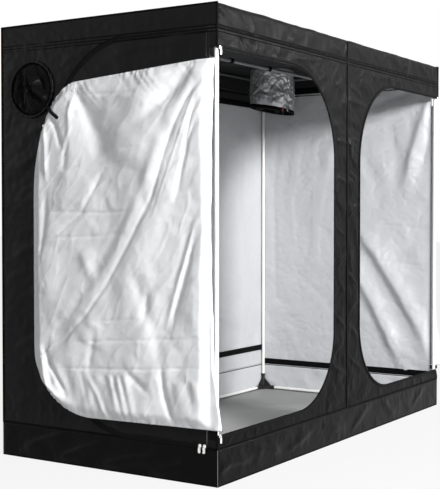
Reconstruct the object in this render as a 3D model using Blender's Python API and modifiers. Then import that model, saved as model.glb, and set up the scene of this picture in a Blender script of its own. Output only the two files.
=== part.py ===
"""Indoor grow tent: a tubular frame with moulded connectors, a sewn cover and roll-round doors.

Metres, +Z up. +X runs along the front from left to right and +Y from the front to the back.
The origin is the centre of the footprint on the ground. Both front doors are unzipped, turned
round their corners and hooked back against the outside of the end walls.
"""

import math

import bmesh
import bpy
from mathutils import Matrix, Vector

# Overall size
LENGTH = 2.4
DEPTH = 1.2
HEIGHT = 2.0
HALF_LENGTH = LENGTH / 2
HALF_DEPTH = DEPTH / 2

# Cloth, running gaps and the overrun of every cut
CLOTH = 0.0015
GAP = 0.0003
CUT_OVERRUN = 0.02

# Frame poles
POLE_RADIUS = 0.0095
POLE_WALL = 0.0012
POLE_SIDES = 12

# Moulded connectors
SOCKET_FIT = 0.0003
SOCKET_WALL = 0.0025
SOCKET_RADIUS = POLE_RADIUS + SOCKET_FIT + SOCKET_WALL
SEAT_WALL = 0.006
SOCKET_SEAT = POLE_RADIUS + SOCKET_FIT + SEAT_WALL
SOCKET_REACH = 0.085
GUSSET_MARGIN = 0.009
GUSSET_THICKNESS = 0.005
COLLAR_LENGTH = 0.010
COLLAR_STEP = 0.0016
HUB_PROUD = 0.0004
ARM_RADIUS = SOCKET_RADIUS - COLLAR_STEP
AXIS_INSET = CLOTH + GAP + SOCKET_RADIUS
FRAME_X = HALF_LENGTH - AXIS_INSET
FRAME_Y = HALF_DEPTH - AXIS_INSET
FRAME_LOW = AXIS_INSET
FRAME_HIGH = HEIGHT - AXIS_INSET

# Ceiling bar and its hangers
BAR_DROP = 0.060
HANGER_CLIP_LENGTH = 0.030
HANGER_SOCKET_REACH = 0.055
HANGER_SOCKET_SEAT = 0.014
HANGER_WEB_THICKNESS = 0.008
HANGER_WEB_WIDTH = 0.016

# Seams between the panels of the cover
BAND_DEPTH = 0.105
SKIRT_HEIGHT = 0.155
SKIRT_SEAM = 0.0012
WALL_BOTTOM = SKIRT_HEIGHT + SKIRT_SEAM
BAND_BOTTOM = HEIGHT - BAND_DEPTH

# Front doorways
SILL_STRIP = 0.057
HEAD_STRIP = 0.080
DOORWAY_BOTTOM = SKIRT_HEIGHT + SILL_STRIP
DOORWAY_TOP = BAND_BOTTOM - HEAD_STRIP
CENTRE_STRIP = 0.29
DOORWAY_TOP_RADIUS = 0.42
DOORWAY_BOTTOM_RADIUS = 0.35
SLIT_WIDTH = 0.040
ARC_STEPS = 10

# Zipped side door
SIDE_DOOR_START = 0.052
SIDE_DOOR_WIDTH = 0.818
SIDE_DOOR_RADIUS = 0.42
SIDE_DOOR_SILL = 0.011
ZIP_SLOT = 0.002
ZIP_WIDTH = 0.018
ZIP_THICKNESS = 0.0012

# Door leaves, as they hang hooked back
LEAF_WIDTH = 0.987
LEAF_SEAM = 0.001
LEAF_INNER_DROP = 0.040
LEAF_OUTER_DROP = 0.115
LEAF_INNER_RISE = 0.028
LEAF_OUTER_RISE = 0.010
LEAF_TOP_INNER = DOORWAY_TOP - LEAF_INNER_DROP
LEAF_TOP_OUTER = DOORWAY_TOP - LEAF_OUTER_DROP
LEAF_BOTTOM_INNER = DOORWAY_BOTTOM + LEAF_INNER_RISE
LEAF_BOTTOM_OUTER = DOORWAY_BOTTOM + LEAF_OUTER_RISE
LEAF_TOP_CORNER = (0.250, 0.500)
LEAF_BOTTOM_CORNER = (0.337, 0.310)
LEAF_STANDOFF = 0.020
LEAF_CLOSED_STANDOFF = 0.0035
LEAF_COLUMNS = 24
LEAF_ROWS = 22
LEAF_LEAD_IN = 0.055
LEAF_HEM_FADE = 0.070
FOLD_DEPTH = 0.012
BILLOW_DEPTH = 0.004
BILLOW_COUNT = 2.5
# Each fold: start and end as shares of the leaf's width and height, then its width as a share
# of the leaf's width and its depth as a share of the fold depth
FOLD_SHARES = (
    (0.026, 0.989, 0.213, 0.826, 0.040, -0.80),
    (0.213, 0.826, 0.333, 0.671, 0.045, -0.90),
    (0.333, 0.671, 0.563, 0.461, 0.050, -1.00),
    (0.563, 0.461, 0.940, 0.278, 0.050, -1.00),
    (0.107, 0.982, 0.408, 0.851, 0.060, -0.50),
    (0.743, 0.945, 0.588, 0.802, 0.040, -0.80),
    (0.073, 0.652, 0.241, 0.367, 0.040, -0.60),
    (0.808, 0.243, 0.717, 0.117, 0.035, -0.60),
    (0.618, 0.200, 0.548, 0.114, 0.030, -0.60),
    (0.250, 0.210, 0.202, 0.135, 0.030, -0.50),
    (0.135, 0.885, 0.316, 0.727, 0.035, 0.50),
    (0.710, 0.676, 0.861, 0.420, 0.090, 0.60),
    (0.405, 0.420, 0.304, 0.253, 0.080, 0.60),
)

# Hold-back strap of a leaf
STRAP_LENGTH = 0.096
STRAP_WIDTH = 0.012
STRAP_THICKNESS = 0.002
STRAP_SHARE = 0.8754
STRAP_DROP = 0.112
STRAP_ALONG = STRAP_SHARE * LEAF_WIDTH
STRAP_HEIGHT = LEAF_TOP_OUTER - STRAP_DROP
STRAP_ANGLE = math.radians(36)

# Zip sliders and pull tabs
SLIDER_WIDTH = 0.012
SLIDER_HEIGHT = 0.014
SLIDER_DEPTH = 0.005
SLIDER_BEVEL = 0.0012
POST_WIDTH = 0.0018
POST_HEIGHT = 0.0036
POST_SPREAD = 0.0032
PIN_RADIUS = 0.0009
PIN_PROUD = 0.0028
EYE_RADIUS = 0.0024
EYE_CLEARANCE = 0.0004
EYE_WIDTH = 0.0040
PULL_LENGTH = 0.030
PULL_WIDTH = 0.012
PULL_THICKNESS = 0.0016
PULL_NECK = 0.0055
NECK_INSET = 0.0003
PULL_CORNER = 0.004
SMALL_SIDES = 12
CORNER_SLIDER_START = 0.014
SIDE_SLIDER_STARTS = (0.062, 0.085)

# Duct port in the left wall
PORT_RADIUS = 0.113
PORT_FROM_FRONT = 1.010
PORT_DROP = 0.297
PORT_HEIGHT = HEIGHT - PORT_DROP
SOCK_RIM = 0.005
SOCK_BULGE = 0.030
SOCK_PLEATS = 9
SOCK_PLEAT_DEPTH = 0.006
SOCK_SPOKES = 45
SOCK_RINGS = 5
RING_RADIUS = 0.125
RING_THICKNESS = 0.005
RING_STEPS = 32
RING_SIDES = 6

# Duct sleeve under the roof
SLEEVE_FROM_END = 0.40
SLEEVE_X = HALF_LENGTH - SLEEVE_FROM_END
SLEEVE_Y = 0.30
SLEEVE_RADIUS = 0.130
SLEEVE_LENGTH = 0.245
SLEEVE_SPOKES = 36
SLEEVE_RINGS = 5
SLEEVE_WAVES = 6
SLEEVE_WAVE_DEPTH = 0.004
ROOF_PORT_RADIUS = SLEEVE_RADIUS - SLEEVE_WAVE_DEPTH - CLOTH

TENT = "grow_tent"
CUTTERS = "grow_tent_cutters"

# Planes that flat panels are drawn in: local X and Y, then the way that the thickness runs
FRONT_PLANE = Matrix(((1, 0, 0), (0, 0, -1), (0, 1, 0))).to_4x4()
SIDE_PLANE = Matrix(((0, 0, 1), (1, 0, 0), (0, 1, 0))).to_4x4()

# Colour, roughness and metallic value of each material
FINISHES = {
    "black_cloth": ((0.020, 0.020, 0.021), 0.62, 0.0),
    "band_cloth": ((0.038, 0.038, 0.040), 0.70, 0.0),
    "skirt_cloth": ((0.008, 0.008, 0.010), 0.38, 0.0),
    "silver_lining": ((0.72, 0.73, 0.75), 0.30, 0.5),
    "white_pole": ((0.80, 0.80, 0.80), 0.35, 0.0),
    "grey_bar": ((0.55, 0.55, 0.56), 0.32, 0.6),
    "black_plastic": ((0.012, 0.012, 0.013), 0.45, 0.0),
    "nickel": ((0.82, 0.82, 0.80), 0.25, 0.9),
    "zip_tape": ((0.010, 0.010, 0.010), 0.75, 0.0),
}


def collection(name):
    """Returns the named collection, made and linked to the scene when it is new."""
    found = bpy.data.collections.get(name)
    if found is None:
        found = bpy.data.collections.new(name)
        bpy.context.scene.collection.children.link(found)
    return found


def material(name):
    """Returns the named Principled material with its colour, roughness and metallic value."""
    found = bpy.data.materials.get(name)
    if found is None:
        colour, roughness, metallic = FINISHES[name]
        found = bpy.data.materials.new(name)
        found.use_nodes = True
        shader = found.node_tree.nodes["Principled BSDF"]
        shader.inputs["Base Color"].default_value = (*colour, 1.0)
        shader.inputs["Roughness"].default_value = roughness
        shader.inputs["Metallic"].default_value = metallic
    return found


def add_part(name, mesh, finish, matrix=None):
    """Adds a named sub-part that shows the mesh, with one material for the whole of it."""
    part = bpy.data.objects.new(name, mesh)
    if not mesh.materials:
        mesh.materials.append(material(finish))
    part.matrix_world = matrix or Matrix()
    collection(TENT).objects.link(part)
    return part


def add_cutter(name, mesh, matrix=None):
    """Adds an object that only cuts or joins another one and is never shown."""
    cutter = bpy.data.objects.new(name, mesh)
    cutter.matrix_world = matrix or Matrix()
    cutter.hide_render = True
    cutter.display_type = "WIRE"
    collection(CUTTERS).objects.link(cutter)
    return cutter


def mesh_from(name, build):
    """Returns a mesh that the function fills through a bmesh."""
    shape = bmesh.new()
    build(shape)
    bmesh.ops.recalc_face_normals(shape, faces=shape.faces)
    mesh = bpy.data.meshes.new(name)
    shape.to_mesh(mesh)
    shape.free()
    return mesh


def open_mesh(name, build):
    """Returns an open surface whose faces keep the way that they were made."""
    shape = bmesh.new()
    build(shape)
    mesh = bpy.data.meshes.new(name)
    shape.to_mesh(mesh)
    shape.free()
    return mesh


def solid_mesh(part, name):
    """Returns the evaluated mesh of an object with its loose caps welded."""
    graph = bpy.context.evaluated_depsgraph_get()
    mesh = bpy.data.meshes.new_from_object(part.evaluated_get(graph), depsgraph=graph)
    shape = bmesh.new()
    shape.from_mesh(mesh)
    bmesh.ops.remove_doubles(shape, verts=shape.verts, dist=GAP / 100)
    bmesh.ops.recalc_face_normals(shape, faces=shape.faces)
    shape.to_mesh(mesh)
    shape.free()
    mesh.name = name
    return mesh


def box_mesh(name, low, high):
    """Returns a box between two opposite corners."""
    low = Vector(low)
    high = Vector(high)

    def build(shape):
        bmesh.ops.create_cube(shape, size=1.0)
        for vert in shape.verts:
            vert.co = Vector(
                high[axis] if vert.co[axis] > 0 else low[axis] for axis in range(3)
            )

    return mesh_from(name, build)


def rod_mesh(name, start, end, radius, sides, capped=True):
    """Returns a straight round rod between two points."""
    start = Vector(start)
    end = Vector(end)
    run = end - start

    def build(shape):
        bmesh.ops.create_cone(
            shape,
            segments=sides,
            radius1=radius,
            radius2=radius,
            depth=run.length,
            cap_ends=capped,
        )
        turn = run.to_track_quat("Z", "Y").to_matrix().to_4x4()
        bmesh.ops.transform(
            shape, matrix=Matrix.Translation((start + end) / 2) @ turn, verts=shape.verts
        )

    return mesh_from(name, build)


def outline_mesh(name, loops, thickness):
    """Returns a flat plate in the local XY plane, centred on it; later loops are holes."""
    curve = bpy.data.curves.new(name, "CURVE")
    curve.dimensions = "2D"
    curve.fill_mode = "BOTH"
    curve.extrude = thickness / 2
    for loop in loops:
        spline = curve.splines.new("POLY")
        spline.points.add(len(loop) - 1)
        for point, (across, up) in zip(spline.points, loop):
            point.co = (across, up, 0.0, 1.0)
        spline.use_cyclic_u = True
    guide = bpy.data.objects.new(name, curve)
    collection(CUTTERS).objects.link(guide)
    mesh = solid_mesh(guide, name)
    bpy.data.objects.remove(guide)
    return mesh


def combine(name, base, joined=(), cut=()):
    """Returns the base mesh with the joined meshes added and the cut meshes taken away."""
    body = add_cutter(name, base)
    for operation, meshes in (("UNION", joined), ("DIFFERENCE", cut)):
        for index, mesh in enumerate(meshes):
            tool = add_cutter(f"{name}_{operation.lower()}_{index}", mesh)
            step = body.modifiers.new(tool.name, "BOOLEAN")
            step.operation = operation
            step.solver = "EXACT"
            step.object = tool
    mesh = solid_mesh(body, name)
    bpy.data.objects.remove(body)
    return mesh


def thicken(part, thickness, offset):
    """Gives an open surface its thickness."""
    shell = part.modifiers.new("thickness", "SOLIDIFY")
    shell.thickness = thickness
    shell.offset = offset
    shell.use_even_offset = True


def smooth(part, angle=math.radians(40)):
    """Shades a round piece smooth and keeps its sharp edges."""
    part.data.shade_smooth()
    part.data.set_sharp_from_angle(angle=angle)


def sheet_part(name, columns, rows, place, thickness, finish, origin=(0.0, 0.0, 0.0)):
    """Adds a cloth sheet: a grid of points put in place by a function of two shares."""
    origin = Vector(origin)

    def build(shape):
        bmesh.ops.create_grid(shape, x_segments=columns, y_segments=rows, size=0.5)
        for vert in shape.verts:
            vert.co = Vector(place(vert.co.x + 0.5, vert.co.y + 0.5)) - origin

    mesh = mesh_from(name, build)
    part = add_part(name, mesh, finish, Matrix.Translation(origin))
    thicken(part, thickness, 0.0)
    smooth(part)
    return part


def arc(centre, radius, start, end, steps=ARC_STEPS):
    """Returns points along an arc, between two angles in degrees."""
    points = []
    for index in range(steps + 1):
        angle = math.radians(start + (end - start) * index / steps)
        points.append(
            (centre[0] + radius * math.cos(angle), centre[1] + radius * math.sin(angle))
        )
    return points


def d_edge(flat, bulge, bottom, top, bottom_radius, top_radius, grow=0.0):
    """Returns the rounded edge of a D from its bottom to its top, grown outwards if asked."""
    side = math.copysign(1.0, bulge - flat)
    low = arc((0.0, bottom + bottom_radius), bottom_radius + grow, -90, 0)
    high = arc((0.0, top - top_radius), top_radius + grow, 0, 90)
    low = [(bulge + side * (u - bottom_radius), v) for u, v in low]
    high = [(bulge + side * (u - top_radius), v) for u, v in high]
    return [(flat, bottom - grow), *low, *high, (flat, top + grow)]


def smoothstep(value):
    """Returns an eased share between nothing and one."""
    value = min(max(value, 0.0), 1.0)
    return value * value * (3 - 2 * value)


def pole(name, start, end, finish="white_pole"):
    """Adds a hollow pole between two points."""
    mesh = rod_mesh(name, start, end, POLE_RADIUS, POLE_SIDES, capped=False)
    part = add_part(name, mesh, finish)
    thicken(part, POLE_WALL, -1.0)
    smooth(part)
    return part


def socket_arm(direction):
    """Returns the meshes of a connector's arm, its end collar and the bore for its pole."""
    direction = Vector(direction)
    tip = direction * SOCKET_REACH
    root = direction * -ARM_RADIUS / 2
    inside_collar = direction * (SOCKET_REACH - COLLAR_LENGTH / 2)
    arm = rod_mesh("arm", root, inside_collar, ARM_RADIUS, POLE_SIDES)
    collar = rod_mesh(
        "collar", direction * (SOCKET_REACH - COLLAR_LENGTH), tip, SOCKET_RADIUS, POLE_SIDES
    )
    bore = rod_mesh(
        "bore",
        direction * SOCKET_SEAT,
        tip + direction * CUT_OVERRUN,
        POLE_RADIUS + SOCKET_FIT,
        POLE_SIDES,
    )
    return arm, collar, bore


def gusset(first, second):
    """Returns the triangular web between two arms of a connector."""
    reach = SOCKET_REACH - COLLAR_LENGTH - GUSSET_MARGIN
    mesh = outline_mesh("gusset", [[(0, 0), (reach, 0), (0, reach)]], GUSSET_THICKNESS)
    first = Vector(first)
    second = Vector(second)
    mesh.transform(Matrix((first, second, first.cross(second))).transposed().to_4x4())
    return mesh


def connector_mesh(name, directions, webs):
    """Returns a moulded connector with a blind socket for each arm and webs between them."""
    half = ARM_RADIUS + HUB_PROUD
    hub = box_mesh("hub", (-half, -half, -half), (half, half, half))
    joined = []
    cut = []
    for direction in directions:
        arm, collar, bore = socket_arm(direction)
        joined += [arm, collar]
        cut.append(bore)
    joined += [gusset(first, second) for first, second in webs]
    return combine(name, hub, joined, cut)


def add_corners():
    """Adds the eight three-way corner connectors."""
    along, back, up = (1, 0, 0), (0, 1, 0), (0, 0, 1)
    webs = ((along, back), (back, up), (up, along))
    mesh = connector_mesh("corner", (along, back, up), webs)
    for level, z, up_sign in (("bottom", FRAME_LOW, 1), ("top", FRAME_HIGH, -1)):
        for end, y, back_sign in (("front", -FRAME_Y, 1), ("back", FRAME_Y, -1)):
            for side, x, along_sign in (("left", -FRAME_X, 1), ("right", FRAME_X, -1)):
                arms = [
                    Vector((along_sign, 0, 0)),
                    Vector((0, back_sign, 0)),
                    Vector((0, 0, up_sign)),
                ]
                if along_sign * back_sign * up_sign < 0:
                    arms[0], arms[1] = arms[1], arms[0]
                turn = Matrix(arms).transposed().to_4x4()
                place = Matrix.Translation((x, y, z)) @ turn
                smooth(add_part(f"corner_{level}_{end}_{side}", mesh, "black_plastic", place))


def add_tees():
    """Adds the four connectors that join the centre uprights to the long rails."""
    left, right, up = (-1, 0, 0), (1, 0, 0), (0, 0, 1)
    mesh = connector_mesh("tee", (left, right, up), ((right, up), (left, up)))
    for level, z, turned in (("bottom", FRAME_LOW, 0), ("top", FRAME_HIGH, 180)):
        for end, y in (("front", -FRAME_Y), ("back", FRAME_Y)):
            turn = Matrix.Rotation(math.radians(turned), 4, "X")
            place = Matrix.Translation((0, y, z)) @ turn
            smooth(add_part(f"tee_{level}_{end}", mesh, "black_plastic", place))


def add_poles():
    """Adds the uprights and the rails, each reaching into the sockets at its two ends."""
    seat = SOCKET_SEAT + GAP
    for end, y in (("front", -FRAME_Y), ("back", FRAME_Y)):
        for side, x in (("left", -FRAME_X), ("centre", 0.0), ("right", FRAME_X)):
            pole(f"upright_{end}_{side}", (x, y, FRAME_LOW + seat), (x, y, FRAME_HIGH - seat))
    for level, z in (("floor", FRAME_LOW), ("top", FRAME_HIGH)):
        for end, y in (("front", -FRAME_Y), ("back", FRAME_Y)):
            pole(f"{level}_rail_{end}_left", (-FRAME_X + seat, y, z), (-seat, y, z))
            pole(f"{level}_rail_{end}_right", (seat, y, z), (FRAME_X - seat, y, z))
        for side, x in (("left", -FRAME_X), ("right", FRAME_X)):
            pole(f"{level}_rail_{side}", (x, -FRAME_Y + seat, z), (x, FRAME_Y - seat, z))


def add_ceiling_bar():
    """Adds the lengthwise bar for lamps and the two hangers that clip over the end rails."""
    clip_half = HANGER_CLIP_LENGTH / 2
    clip = rod_mesh("clip", (0, -clip_half, 0), (0, clip_half, 0), SOCKET_RADIUS, POLE_SIDES)
    low = (-HANGER_WEB_THICKNESS / 2, -HANGER_WEB_WIDTH / 2, -BAR_DROP)
    high = (HANGER_WEB_THICKNESS / 2, HANGER_WEB_WIDTH / 2, 0)
    web = box_mesh("web", low, high)
    back = -SOCKET_RADIUS + HUB_PROUD
    socket = rod_mesh(
        "socket",
        (back, 0, -BAR_DROP),
        (HANGER_SOCKET_REACH, 0, -BAR_DROP),
        SOCKET_RADIUS,
        POLE_SIDES,
    )
    brace_reach = HANGER_SOCKET_REACH - HANGER_SOCKET_SEAT
    brace = outline_mesh(
        "brace", [[(0, -SOCKET_RADIUS), (0, -BAR_DROP), (brace_reach, -BAR_DROP)]], GUSSET_THICKNESS
    )
    brace.transform(FRONT_PLANE)
    rail_bore = rod_mesh(
        "rail_bore",
        (0, -clip_half - CUT_OVERRUN, 0),
        (0, clip_half + CUT_OVERRUN, 0),
        POLE_RADIUS + SOCKET_FIT,
        POLE_SIDES,
    )
    bar_bore = rod_mesh(
        "bar_bore",
        (HANGER_SOCKET_SEAT, 0, -BAR_DROP),
        (HANGER_SOCKET_REACH + CUT_OVERRUN, 0, -BAR_DROP),
        POLE_RADIUS + SOCKET_FIT,
        POLE_SIDES,
    )
    mesh = combine("hanger", clip, [web, socket, brace], [rail_bore, bar_bore])
    for side, x, turned in (("left", -FRAME_X, 0), ("right", FRAME_X, 180)):
        turn = Matrix.Rotation(math.radians(turned), 4, "Z")
        place = Matrix.Translation((x, 0, FRAME_HIGH)) @ turn
        smooth(add_part(f"bar_hanger_{side}", mesh, "black_plastic", place))
    reach = FRAME_X - HANGER_SOCKET_SEAT - GAP
    height = FRAME_HIGH - BAR_DROP
    pole("ceiling_bar", (-reach, 0, height), (reach, 0, height), "grey_bar")


def add_floor_tray():
    """Adds the waterproof floor with its skirt, one open tray."""

    def build(shape):
        bmesh.ops.create_cube(shape, size=1.0)
        lid = [face for face in shape.faces if face.normal.z > 0.5]
        bmesh.ops.delete(shape, geom=lid, context="FACES")
        for vert in shape.verts:
            height = SKIRT_HEIGHT if vert.co.z > 0 else 0.0
            vert.co = Vector((vert.co.x * LENGTH, vert.co.y * DEPTH, height))

    tray = add_part("floor_tray", open_mesh("floor_tray", build), "skirt_cloth")
    thicken(tray, CLOTH, -1.0)


def add_roof_canopy():
    """Adds the roof with its front and back bands, cut through for the duct sleeve."""
    inner_y = HALF_DEPTH - CLOTH
    inner_z = HEIGHT - CLOTH
    profile = [
        (-HALF_DEPTH, BAND_BOTTOM),
        (-inner_y, BAND_BOTTOM),
        (-inner_y, inner_z),
        (inner_y, inner_z),
        (inner_y, BAND_BOTTOM),
        (HALF_DEPTH, BAND_BOTTOM),
        (HALF_DEPTH, HEIGHT),
        (-HALF_DEPTH, HEIGHT),
    ]
    channel = outline_mesh("channel", [profile], LENGTH)
    channel.transform(SIDE_PLANE)
    port = rod_mesh(
        "roof_port",
        (SLEEVE_X, SLEEVE_Y, HEIGHT - CUT_OVERRUN),
        (SLEEVE_X, SLEEVE_Y, HEIGHT + CUT_OVERRUN),
        ROOF_PORT_RADIUS,
        SLEEVE_SPOKES,
    )
    add_part("roof_canopy", combine("roof_canopy", channel, cut=[port]), "band_cloth")


def doorway_edge(side):
    """Returns the rounded edge of a front doorway, from the sill round to the head."""
    return d_edge(
        side * HALF_LENGTH,
        side * CENTRE_STRIP / 2,
        DOORWAY_BOTTOM,
        DOORWAY_TOP,
        DOORWAY_BOTTOM_RADIUS,
        DOORWAY_TOP_RADIUS,
    )


def wall_plate(name, loops, plane, place, finish):
    """Adds a flat panel of cloth drawn in a plane and moved to its place."""
    mesh = outline_mesh(name, loops, CLOTH)
    mesh.transform(plane)
    return add_part(name, mesh, finish, Matrix.Translation(place))


def add_front_panel():
    """Adds the front: its head and sill strips and the strip between the two doorways."""
    high = BAND_BOTTOM - GAP
    loop = [(-HALF_LENGTH, WALL_BOTTOM), (HALF_LENGTH, WALL_BOTTOM), *doorway_edge(1)]
    loop += [(HALF_LENGTH, high), (-HALF_LENGTH, high), *doorway_edge(-1)[::-1]]
    middle = -HALF_DEPTH + CLOTH / 2
    wall_plate("front_panel", [loop], FRONT_PLANE, (0, middle, 0), "black_cloth")


def add_back_wall():
    """Adds the plain back wall."""
    low = WALL_BOTTOM
    high = BAND_BOTTOM - GAP
    loop = [(-HALF_LENGTH, low), (HALF_LENGTH, low), (HALF_LENGTH, high), (-HALF_LENGTH, high)]
    middle = HALF_DEPTH - CLOTH / 2
    wall_plate("back_wall", [loop], FRONT_PLANE, (0, middle, 0), "black_cloth")


def end_wall_loop():
    """Returns an end wall's outline, with the slit beside the front upright."""
    front = -HALF_DEPTH + CLOTH + GAP
    back = HALF_DEPTH - CLOTH - GAP
    low = WALL_BOTTOM
    high = HEIGHT - CLOTH - GAP
    slit = -HALF_DEPTH + SLIT_WIDTH
    return [
        (front, low),
        (back, low),
        (back, high),
        (front, high),
        (front, DOORWAY_TOP),
        (slit, DOORWAY_TOP),
        (slit, DOORWAY_BOTTOM),
        (front, DOORWAY_BOTTOM),
    ]


def side_door_edge(grow):
    """Returns the rounded edge of the zipped side door, grown outwards by an amount."""
    front = -HALF_DEPTH + SIDE_DOOR_START
    sill = SKIRT_HEIGHT + SIDE_DOOR_SILL
    radius = SIDE_DOOR_RADIUS
    return d_edge(front, front + SIDE_DOOR_WIDTH, sill, BAND_BOTTOM, radius, radius, grow)


def add_end_walls():
    """Adds the left wall, cut for its side door and duct port, and the plain right wall."""
    middle = HALF_LENGTH - CLOTH / 2
    port = (PORT_FROM_FRONT - HALF_DEPTH, PORT_HEIGHT)
    last = 360 - 360 / RING_STEPS
    holes = [side_door_edge(0.0), arc(port, PORT_RADIUS, 0, last, RING_STEPS - 1)]
    loops = [end_wall_loop(), *holes]
    wall_plate("left_wall", loops, SIDE_PLANE, (-middle, 0, 0), "black_cloth")
    wall_plate("right_wall", [end_wall_loop()], SIDE_PLANE, (middle, 0, 0), "black_cloth")


def add_side_door():
    """Adds the zipped side door and the zip that holds its edge to the left wall."""
    middle = HALF_LENGTH - CLOTH / 2
    front = -HALF_DEPTH + SIDE_DOOR_START + ZIP_SLOT
    panel = [(max(u, front), v) for u, v in side_door_edge(-ZIP_SLOT)]
    wall_plate("left_side_door", [panel], SIDE_PLANE, (-middle, 0, 0), "black_cloth")
    tape = side_door_edge(ZIP_WIDTH / 2) + side_door_edge(-ZIP_WIDTH / 2)[::-1]
    mesh = outline_mesh("left_side_zip", [tape], ZIP_THICKNESS)
    mesh.transform(SIDE_PLANE)
    place = Matrix.Translation((-HALF_LENGTH - GAP - ZIP_THICKNESS / 2, 0, 0))
    add_part("left_side_zip", mesh, "zip_tape", place)


def leaf_limits(along):
    """Returns the bottom and top of a hooked-back leaf at a distance from its corner."""
    share = along / LEAF_WIDTH
    bottom = LEAF_BOTTOM_INNER + (LEAF_BOTTOM_OUTER - LEAF_BOTTOM_INNER) * share
    top = LEAF_TOP_INNER + (LEAF_TOP_OUTER - LEAF_TOP_INNER) * share
    wide, tall = LEAF_BOTTOM_CORNER
    past = max(along - (LEAF_WIDTH - wide), 0.0) / wide
    bottom += tall * (1 - math.sqrt(max(1 - past * past, 0.0)))
    wide, tall = LEAF_TOP_CORNER
    past = max(along - (LEAF_WIDTH - wide), 0.0) / wide
    top -= tall * (1 - math.sqrt(max(1 - past * past, 0.0)))
    return bottom, top


def fold_height(across, up):
    """Returns how far the main folds stand out at a point given as shares of the leaf."""
    point = Vector((across * LEAF_WIDTH, up * LEAF_TOP_INNER))
    total = BILLOW_DEPTH * math.sin(math.tau * BILLOW_COUNT * across + math.pi * up)
    for start_u, start_v, end_u, end_v, width_share, depth_share in FOLD_SHARES:
        start = Vector((start_u * LEAF_WIDTH, start_v * LEAF_TOP_INNER))
        run = Vector((end_u * LEAF_WIDTH, end_v * LEAF_TOP_INNER)) - start
        along = min(max((point - start).dot(run) / run.dot(run), 0.0), 1.0)
        away = (point - start - run * along).length / (width_share * LEAF_WIDTH)
        total += FOLD_DEPTH * depth_share * math.exp(-away * away)
    return FOLD_DEPTH * math.tanh(total / FOLD_DEPTH)


def leaf_point(side, across, up):
    """Returns a point of a leaf that hangs along the outside of an end wall."""
    start = SLIT_WIDTH + LEAF_SEAM
    along = start + (LEAF_WIDTH - start) * math.sin(across * math.pi / 2)
    bottom, top = leaf_limits(along)
    height = bottom + (top - bottom) * up
    hem = min(height - bottom, top - height, LEAF_WIDTH - along)
    seated = GAP + CLOTH / 2
    hung = LEAF_STANDOFF + smoothstep(hem / LEAF_HEM_FADE) * fold_height(
        along / LEAF_WIDTH, height / LEAF_TOP_INNER
    )
    away = seated + (hung - seated) * smoothstep((along - start) / LEAF_LEAD_IN)
    return side * (HALF_LENGTH + away), -HALF_DEPTH + along, height


def leaf_axis(side):
    """Returns where a leaf's upright turning axis stands, just outside its front corner."""
    offset = (LEAF_STANDOFF + LEAF_CLOSED_STANDOFF) / 2
    return Vector((side * (HALF_LENGTH + offset), -HALF_DEPTH - offset, 0.0))


def add_leaf(label, side):
    """Adds a front door leaf, hooked back, and the strap that holds it."""
    axis = leaf_axis(side)
    sheet_part(
        f"{label}_front_door",
        LEAF_COLUMNS,
        LEAF_ROWS,
        lambda across, up: leaf_point(side, across, up),
        CLOTH,
        "silver_lining",
        axis,
    )
    half = Vector((STRAP_THICKNESS, STRAP_LENGTH, STRAP_WIDTH)) / 2
    mesh = box_mesh(f"{label}_door_strap", -half, half)
    away = LEAF_STANDOFF + CLOTH / 2 + GAP + STRAP_THICKNESS / 2
    middle = Vector((side * (HALF_LENGTH + away), -HALF_DEPTH + STRAP_ALONG, STRAP_HEIGHT))
    mesh.transform(Matrix.Translation(middle - axis) @ Matrix.Rotation(STRAP_ANGLE, 4, "X"))
    add_part(f"{label}_door_strap", mesh, "zip_tape", Matrix.Translation(axis))


def slider_mesh():
    """Returns a zip slider with the pin that its pull hangs on; the zip runs along X."""
    face = -GAP - SLIDER_DEPTH
    low = (-SLIDER_WIDTH / 2, face, -SLIDER_HEIGHT / 2)
    high = (SLIDER_WIDTH / 2, -GAP, SLIDER_HEIGHT / 2)
    body = add_cutter("slider_body", box_mesh("slider_body", low, high))
    bevel = body.modifiers.new("soft edges", "BEVEL")
    bevel.width = SLIDER_BEVEL
    bevel.segments = 1
    base = solid_mesh(body, "slider_body")
    pin_y = face - PIN_PROUD
    posts = []
    for side in (-1, 1):
        middle = side * POST_SPREAD
        low = (middle - POST_WIDTH / 2, pin_y - POST_WIDTH, -POST_HEIGHT / 2)
        high = (middle + POST_WIDTH / 2, face + SLIDER_BEVEL, POST_HEIGHT / 2)
        posts.append(box_mesh("post", low, high))
    pin = rod_mesh("pin", (-POST_SPREAD, pin_y, 0), (POST_SPREAD, pin_y, 0), PIN_RADIUS, SMALL_SIDES)
    return combine("slider", base, [*posts, pin])


def pull_mesh():
    """Returns a pull tab that hangs from an eye at its origin."""
    half = PULL_WIDTH / 2
    neck = EYE_WIDTH / 2 - NECK_INSET
    corner = PULL_CORNER
    loop = [(-neck, -PIN_RADIUS), (-neck, -PULL_NECK), (-half, -PULL_NECK)]
    loop += arc((-half + corner, -PULL_LENGTH + corner), corner, 180, 270, 4)
    loop += arc((half - corner, -PULL_LENGTH + corner), corner, 270, 360, 4)
    loop += [(half, -PULL_NECK), (neck, -PULL_NECK), (neck, -PIN_RADIUS)]
    blade = outline_mesh("pull_blade", [loop], PULL_THICKNESS)
    blade.transform(FRONT_PLANE)
    eye_end = EYE_WIDTH / 2
    eye = rod_mesh("eye", (-eye_end, 0, 0), (eye_end, 0, 0), EYE_RADIUS, SMALL_SIDES)
    bore_end = eye_end + CUT_OVERRUN
    bore = rod_mesh(
        "eye_bore", (-bore_end, 0, 0), (bore_end, 0, 0), PIN_RADIUS + EYE_CLEARANCE, SMALL_SIDES
    )
    return combine("pull", eye, [blade], [bore])


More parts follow.
